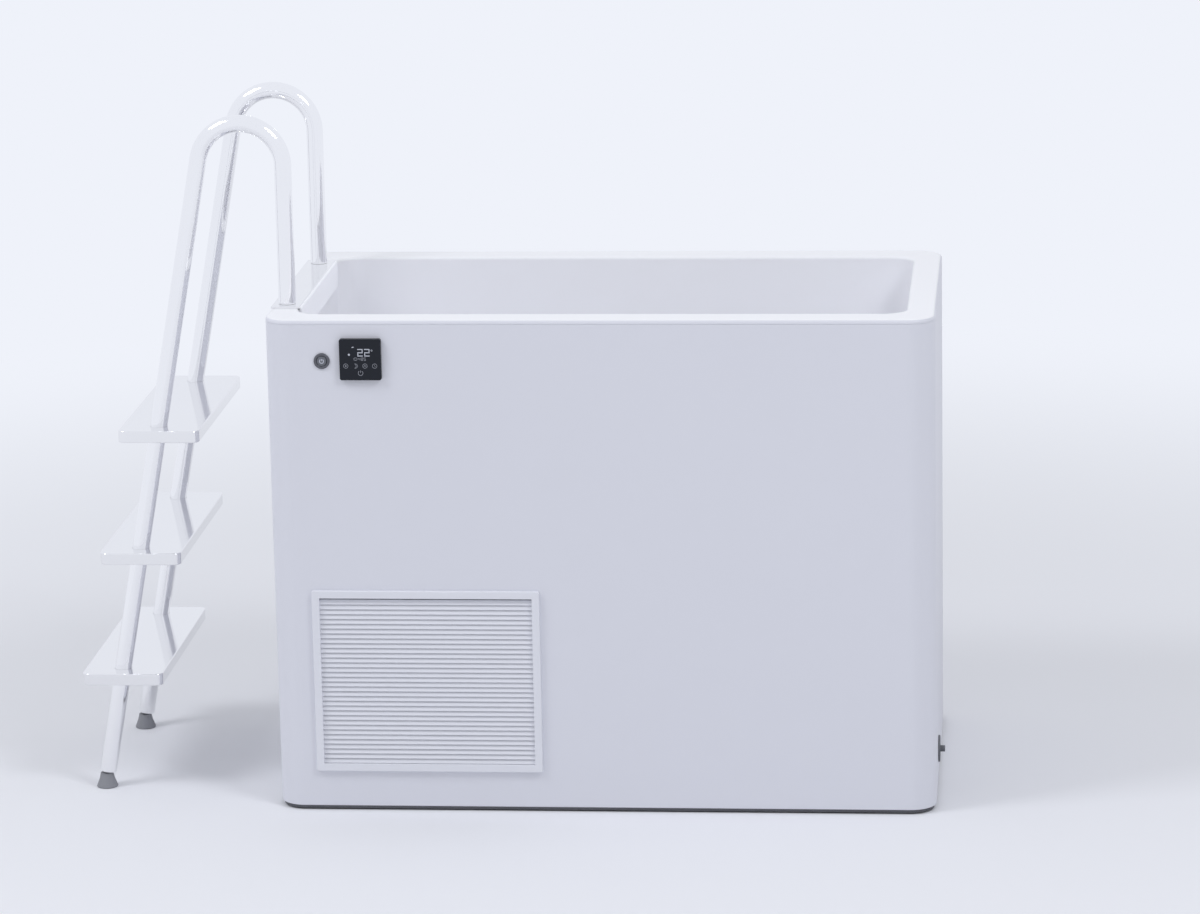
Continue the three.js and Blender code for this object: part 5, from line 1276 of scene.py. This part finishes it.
@dataclass
class DrainOutlet:
    """The dark rosette on the right wall and the spigot in it."""

    flange_r: float = 28.5 * MM
    edge: float = 1.6 * MM
    sleeve_r: float = 16 * MM
    spigot_r: float = 6.8 * MM
    spigot_bore: float = 4 * MM
    spigot_edge: float = 1 * MM

    def __post_init__(self) -> None:
        """Takes the outlet's place from the frame."""
        self.low, self.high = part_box("drain_flange")
        self.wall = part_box("outer_shell")[1].x
        self.centre = (self.low + self.high) / 2
        self.centre.x = 0

    def opening(self) -> Mesh:
        """The wall's hole for the sleeve, as a cutter."""
        return rod(Axis.X, self.centre, self.sleeve_r + FIT, self.wall - self.flange_r,
                   self.wall + self.flange_r)

    def build(self) -> None:
        """Builds the rosette and the spigot."""
        start, end = self.low.x, self.high.x
        seat = self.wall + FIT
        bore = self.spigot_r + FIT
        rosette = [(bore, start), (self.sleeve_r, start), (self.sleeve_r, seat),
                   (self.flange_r, seat), *turned_edge(self.flange_r, end, self.edge), (bore, end)]
        fitted("drain_rosette", turned(rosette, Axis.X, self.centre), DRAIN_GREY, "tub",
               ["drain_flange"])
        start, end = (corner.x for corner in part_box("drain_spigot"))
        spigot = [(self.spigot_bore, start), (self.spigot_r, start),
                  *turned_edge(self.spigot_r, end, self.spigot_edge), (self.spigot_bore, end)]
        fitted("drain_stub", turned(spigot, Axis.X, self.centre), DRAIN_GREY, "drain_plug",
               ["drain_spigot"])


@dataclass
class Ladder:
    """The hook-on ladder: two bent rails, three treads, the hook plate and the feet."""

    tube_r: float = 18 * MM
    bend_r: float = 89 * MM
    end_r: float = 6 * MM
    slope: float = math.radians(10.5)
    treads: tuple[int, ...] = (1, 2, 3)
    tread_corner: float = 16 * MM
    tread_edge: float = 2 * MM
    hook_thick: float = 4 * MM
    hook_bend: float = 6 * MM
    hook_edge: float = 0.5 * MM
    flange_turn: float = 0.6
    foot_waist_r: float = 16.2 * MM
    foot_waist: float = 19 * MM
    foot_top_r: float = 13.5 * MM
    foot_hem: float = 2.5 * MM

    def __post_init__(self) -> None:
        """Takes the rails' planes and the bend's place from the frame."""
        self.planes: dict[str, float] = {}
        for end in ("front", "back"):
            low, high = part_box(f"ladder_rail_{end}")
            self.planes[end] = (low.y + high.y) / 2
        self.inner_x = high.x - self.tube_r
        self.bend_x = self.inner_x - self.bend_r
        self.bend_z = high.z - self.tube_r - self.bend_r
        self.rail_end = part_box("hook_plate")[1].z + FIT
        self.heading = Vector((math.sin(self.slope), 0, math.cos(self.slope)))

    def leg_x(self, z: float) -> float:
        """Where the sloping leg's axis is.

        Args:
            z: the height that is asked about.

        Returns:
            Its place on X there.
        """
        tangent_z = self.bend_z + self.bend_r * math.sin(self.slope)
        tangent_x = self.bend_x - self.bend_r * math.cos(self.slope)
        return tangent_x - (tangent_z - z) * math.tan(self.slope)

    def build(self) -> None:
        """Builds all pieces of the ladder."""
        for end, y in self.planes.items():
            self.build_rail(end, y)
            self.build_foot(end, y)
        for number in self.treads:
            self.build_tread(number)
        self.build_hook()

    def hoop(self, at: Vector, heading: Vector, r: float) -> list[Vector]:
        """One ring of points round a rail's axis.

        Args:
            at: the ring's middle.
            heading: the way the axis runs there.
            r: the ring's radius.

        Returns:
            Its points.
        """
        side = Vector((0, 1, 0))
        out = heading.cross(side)
        angles = [FULL_TURN * i / TUBE_SIDES for i in range(TUBE_SIDES)]
        return [at + r * (math.cos(a) * out + math.sin(a) * side) for a in angles]

    def build_rail(self, end: str, y: float) -> None:
        """Builds one rail: sloping leg with a rounded end, grab bend and upright leg.

        Args:
            end: which rail it is.
            y: the plane that it is bent in.
        """
        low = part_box(f"ladder_rail_{end}")[0].z
        leg_z = low + (self.tube_r - self.end_r) * math.sin(self.slope)
        start = Vector((self.leg_x(leg_z), y, leg_z))
        rows = [[start]]
        for inset, height in lower_round(0, self.end_r):
            at = start + height * self.heading
            rows.append(self.hoop(at, self.heading, self.tube_r - inset))
        for step in range(BEND_STEPS + 1):
            angle = (math.pi - self.slope) * (1 - step / BEND_STEPS)
            at = Vector((self.bend_x + self.bend_r * math.cos(angle), y,
                         self.bend_z + self.bend_r * math.sin(angle)))
            rows.append(self.hoop(at, Vector((math.sin(angle), 0, -math.cos(angle))), self.tube_r))
        foot = Vector((self.inner_x, y, self.rail_end))
        rows.append(self.hoop(foot, Vector((0, 0, -1)), self.tube_r))
        fitted(f"rail_{end}", skin(rows, closed=False), POLISHED, "ladder",
               [f"ladder_rail_{end}"])

    def build_tread(self, number: int) -> None:
        """Builds one tread, with the holes that the legs pass through.

        Args:
            number: which tread it is, from the bottom.
        """
        low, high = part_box(f"tread_{number}")
        plan = Plan(low.x, high.x, low.y, high.y, self.tread_corner)
        board = soft_block(plan, [*lower_round(low.z, self.tread_edge),
                                  *upper_round(high.z, self.tread_edge)])
        hole_r = self.tube_r + FIT
        holes = []
        for y in self.planes.values():
            ends = [Vector((self.leg_x(z), y, z))
                    for z in (low.z - self.tube_r, high.z + self.tube_r)]
            rows = [self.hoop(at, self.heading, hole_r) for at in ends]
            holes.append(skin(rows, closed=False))
        fitted(f"step_board_{number}", worked(board, Cut.CARVE, holes), TREAD_STEEL, "ladder",
               [f"tread_{number}"])

    def build_hook(self) -> None:
        """Builds the bent plate over the rim, polished on top; its flange that faces +X gets a
        paler, satin copy of the steel as painted light.
        """
        low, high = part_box("hook_plate")
        inner = high.x - self.hook_thick
        under = high.z - self.hook_thick
        r, edge = self.hook_bend, self.hook_edge
        bend = quarter(lambda a: (high.x - r + r * math.cos(a), high.z - r + r * math.sin(a)))
        outline = [(low.x, under + edge), (low.x + edge, under), (inner, under),
                   (inner, low.z + edge), (inner + edge, low.z), (high.x - edge, low.z),
                   (high.x, low.z + edge), *bend, (low.x + edge, high.z), (low.x, high.z - edge)]
        hook = fitted("hook_bent_plate", swept(outline, Axis.Y, low.y, high.y), TREAD_STEEL,
                      "ladder", ["hook_plate"])
        # The flange's faces take the paler copy of the steel, as painted light.
        hook.data.materials.append(FLANGE_STEEL_PAINTED_LIGHT.material())
        for face in hook.data.polygons:
            if face.normal.x > self.flange_turn:
                face.material_index = 1

    def build_foot(self, end: str, y: float) -> None:
        """Builds one bell foot of rubber, flared to the floor.

        Args:
            end: which rail it is under.
            y: the plane of that rail.
        """
        low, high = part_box(f"ladder_foot_{end}")
        r = (high.y - low.y) / 2
        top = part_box(f"ladder_rail_{end}")[0].z - FIT
        centre = Vector((low.x + r, y, 0))
        hem = [(r - inset, z) for inset, z in lower_round(low.z, self.foot_hem)]
        bell = [(0, low.z), *hem, (self.foot_waist_r, self.foot_waist), (self.foot_top_r, top),
                (0, top)]
        fitted(f"foot_{end}", turned(bell, Axis.Z, centre), FOOT_RUBBER, "ladder",
               [f"ladder_foot_{end}"])


class Workings:
    """The inner pieces, which keep their own shapes."""

    FINISHES: dict[str, Finish] = {
        "base_mat": FOOT_RUBBER, "seat_frame": ZINC, "dust_filter": DUST_MESH,
        "condenser_coil": FIN_ALUMINIUM, "fan_shroud": BLACK_PAINT,
        "condenser_fan": MACHINE_PLASTIC, "fan_bracket": ZINC, "fan_motor": BLACK_PAINT,
        "compressor": BLACK_PAINT, "heat_exchanger": PIPE_PLASTIC, "discharge_line": COPPER,
        "liquid_line": COPPER, "suction_line": COPPER, "circulation_pump": MACHINE_PLASTIC,
        "filter_sump": FILTER_BLUE, "filter_cartridge": FLEECE, "filter_head": MACHINE_PLASTIC,
        "suction_fitting": GRILLE_WHITE, "return_jet": GRILLE_WHITE, "floor_drain": POLISHED,
        "drain_elbow": PIPE_PLASTIC, "button_nut": ZINC, "button_switch": MACHINE_PLASTIC,
        "control_box": PIPE_PLASTIC, "control_box_lid": PIPE_PLASTIC,
        "power_gland": MACHINE_PLASTIC, "suction_pipe": PIPE_PLASTIC, "pump_hose": PIPE_PLASTIC,
        "filter_hose": PIPE_PLASTIC, "return_hose": PIPE_PLASTIC,
    }
    FAMILIES: dict[str, Finish] = {"foam_": FOAM, "compressor_grommet_": FOOT_RUBBER}

    def build(self) -> None:
        """Dresses each inner piece in its own finish."""
        for node in sorted(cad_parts):
            family = next((f for start, f in self.FAMILIES.items() if node.startswith(start)), None)
            finish = self.FINISHES.get(node, family)
            if finish is not None:
                dressed(node, finish)


@dataclass(frozen=True)
class Softbox:
    """A square soft lamp that looks at the tub."""

    name: str
    place: tuple[float, float, float]
    power: float
    side: float = 2.0
    target: tuple[float, float, float] = (0.0, 0.0, 0.6)

    def hang(self, tint: Colour) -> None:
        """Adds the lamp to the scene.

        Args:
            tint: its light's colour.
        """
        data = bpy.data.lights.new(self.name, "AREA")
        data.color = tint
        data.size = self.side
        data.energy = self.power
        lamp = added(self.name, data)
        lamp.location = self.place
        look = Vector(self.target) - Vector(self.place)
        lamp.rotation_euler = look.to_track_quat("-Z", "Y").to_euler()


@dataclass
class Studio:
    """The floor, the soft light and the camera."""

    floor_size: float = 120.0
    floor_colour: Colour = (0.865, 0.870, 0.898)
    floor_roughness: float = 0.9
    backdrop: Colour = srgb(239, 242, 250)
    fade_start: float = 1.2
    fade_end: float = 4.7
    sky_tint: Colour = (0.935, 0.953, 1.0)
    sky_bright: float = 0.714
    sky_dim: float = 0.349
    bright_side: tuple[float, float, float] = (-0.42, 0.3, 0.86)
    bright_from: float = -0.6
    bright_to: float = 0.9
    lamps: tuple[Softbox, ...] = (
        Softbox("key_softbox", (3.6, -3.6, 5.7), 114.0),
        Softbox("left_softbox", (-4.3, -2.6, 5.7), 108.0),
    )
    photo_width: int = 1200
    focal_pixels: float = 4752.1
    sensor: float = 36.0
    camera_place: tuple[float, float, float] = (0.89941, -9.84328, 2.98811)
    yaw: float = math.radians(-5.4133)
    pitch: float = math.radians(13.1728)
    roll: float = math.radians(-1.1264)

    def build(self) -> None:
        """Builds the stage round the tub."""
        self.build_floor()
        self.build_sky()
        for lamp in self.lamps:
            lamp.hang(self.sky_tint)
        self.build_camera()
        bpy.context.scene.view_settings.view_transform = "Standard"

    def build_floor(self) -> None:
        """Builds a plain pale floor that takes soft shadows."""
        half = self.floor_size / 2
        mesh = bmesh.new()
        corners = [(-half, -half), (half, -half), (half, half), (-half, half)]
        mesh.faces.new([mesh.verts.new((x, y, 0)) for x, y in corners])
        floor = added("studio_floor", mesh_data("studio_floor", mesh))
        material = bpy.data.materials.new("studio floor")
        material.use_nodes = True
        wire = Wiring(material.node_tree)
        shader = wire.fill(material.node_tree.nodes["Principled BSDF"],
                           Base_Color=(*self.floor_colour, 1.0), Roughness=self.floor_roughness,
                           Specular_IOR_Level=0.0)
        self.fade_out(wire, shader)
        floor.data.materials.append(material)

    def fade_out(self, wire: Wiring, shader: bpy.types.Node) -> None:
        """Lets the floor run out into the plain backdrop, away from the tub.

        Args:
            wire: the floor material's wiring.
            shader: its shader.
        """
        place = wire.node("ShaderNodeTexCoord").outputs["Object"]
        reach = wire.node("ShaderNodeVectorMath", operation="LENGTH", in0=place)
        fade = wire.node("ShaderNodeMapRange", interpolation_type="SMOOTHSTEP",
                         Value=reach.outputs["Value"], From_Min=self.fade_start,
                         From_Max=self.fade_end)
        plain = wire.node("ShaderNodeEmission", Strength=1.0, Color=(*self.backdrop, 1.0))
        share = wire.node("ShaderNodeMath", operation="MULTIPLY", in0=fade.outputs["Result"],
                          in1=self.seen(wire))
        mix = wire.node("ShaderNodeMixShader", in0=share.outputs[0], in1=shader.outputs[0],
                        in2=plain.outputs[0])
        wire.fill(wire.tree.nodes["Material Output"], Surface=mix.outputs[0])

    @staticmethod
    def seen(wire: Wiring) -> bpy.types.NodeSocket:
        """One where a ray comes from the camera, a gloss or a glass, and nought where it lights.

        Args:
            wire: the wiring of the floor or the surround.

        Returns:
            The output that holds the value.
        """
        path = wire.node("ShaderNodeLightPath").outputs
        total = wire.node("ShaderNodeMath", operation="ADD", in0=path["Is Camera Ray"],
                          in1=path["Is Glossy Ray"])
        whole = wire.node("ShaderNodeMath", operation="ADD", use_clamp=True, in0=total.outputs[0],
                          in1=path["Is Transmission Ray"])
        return whole.outputs[0]

    def build_sky(self) -> None:
        """Builds a white surround, brightest overhead and dimmer towards the front right."""
        world = bpy.data.worlds.new("studio surround")
        bpy.context.scene.world = world
        world.use_nodes = True
        wire = Wiring(world.node_tree)
        place = wire.node("ShaderNodeTexCoord").outputs["Generated"]
        towards = wire.node("ShaderNodeVectorMath", operation="DOT_PRODUCT", in0=place,
                            in1=self.bright_side)
        level = wire.node("ShaderNodeMapRange", interpolation_type="SMOOTHSTEP",
                          Value=towards.outputs["Value"], From_Min=self.bright_from,
                          From_Max=self.bright_to, To_Min=self.sky_dim, To_Max=self.sky_bright)
        surround = wire.fill(world.node_tree.nodes["Background"], Color=(*self.sky_tint, 1.0),
                             Strength=level.outputs["Result"])
        plain = wire.node("ShaderNodeBackground", Strength=1.0, Color=(*self.backdrop, 1.0))
        mix = wire.node("ShaderNodeMixShader", in0=self.seen(wire), in1=surround.outputs[0],
                        in2=plain.outputs[0])
        wire.fill(world.node_tree.nodes["World Output"], Surface=mix.outputs[0])

    def build_camera(self) -> None:
        """Builds the camera at the photograph's place and angle."""
        data = bpy.data.cameras.new("photo_camera")
        data.sensor_width = self.sensor
        data.lens = self.focal_pixels / self.photo_width * self.sensor
        data.clip_end = 2 * self.floor_size
        camera = added("photo_camera", data)
        level = math.cos(self.pitch)
        ahead = Vector((math.sin(self.yaw) * level, math.cos(self.yaw) * level,
                        -math.sin(self.pitch)))
        turn = ahead.to_track_quat("-Z", "Y").to_matrix().to_4x4()
        turn = turn @ Matrix.Rotation(self.roll, 4, "Z")
        camera.matrix_world = Matrix.Translation(self.camera_place) @ turn
        bpy.context.scene.camera = camera


def main() -> None:
    """Builds the tub, the ladder and the studio in order."""
    logging.basicConfig(level=logging.INFO, format="%(message)s")
    Studio().build()
    intake = LouvrePanel("louvre_grille", "grille_panel", "intake_grille", -1)
    outlet = LouvrePanel("rear_vent", "tub", "outlet_vent", 1)
    panel = TouchPanel()
    button = PowerButton()
    drain = DrainOutlet()
    holders = (intake, outlet, panel, button, drain)
    Casing().build([holder.opening() for holder in holders])
    for holder in holders:
        holder.build()
    Ladder().build()
    Workings().build()


if __name__ == "__main__":
    main()
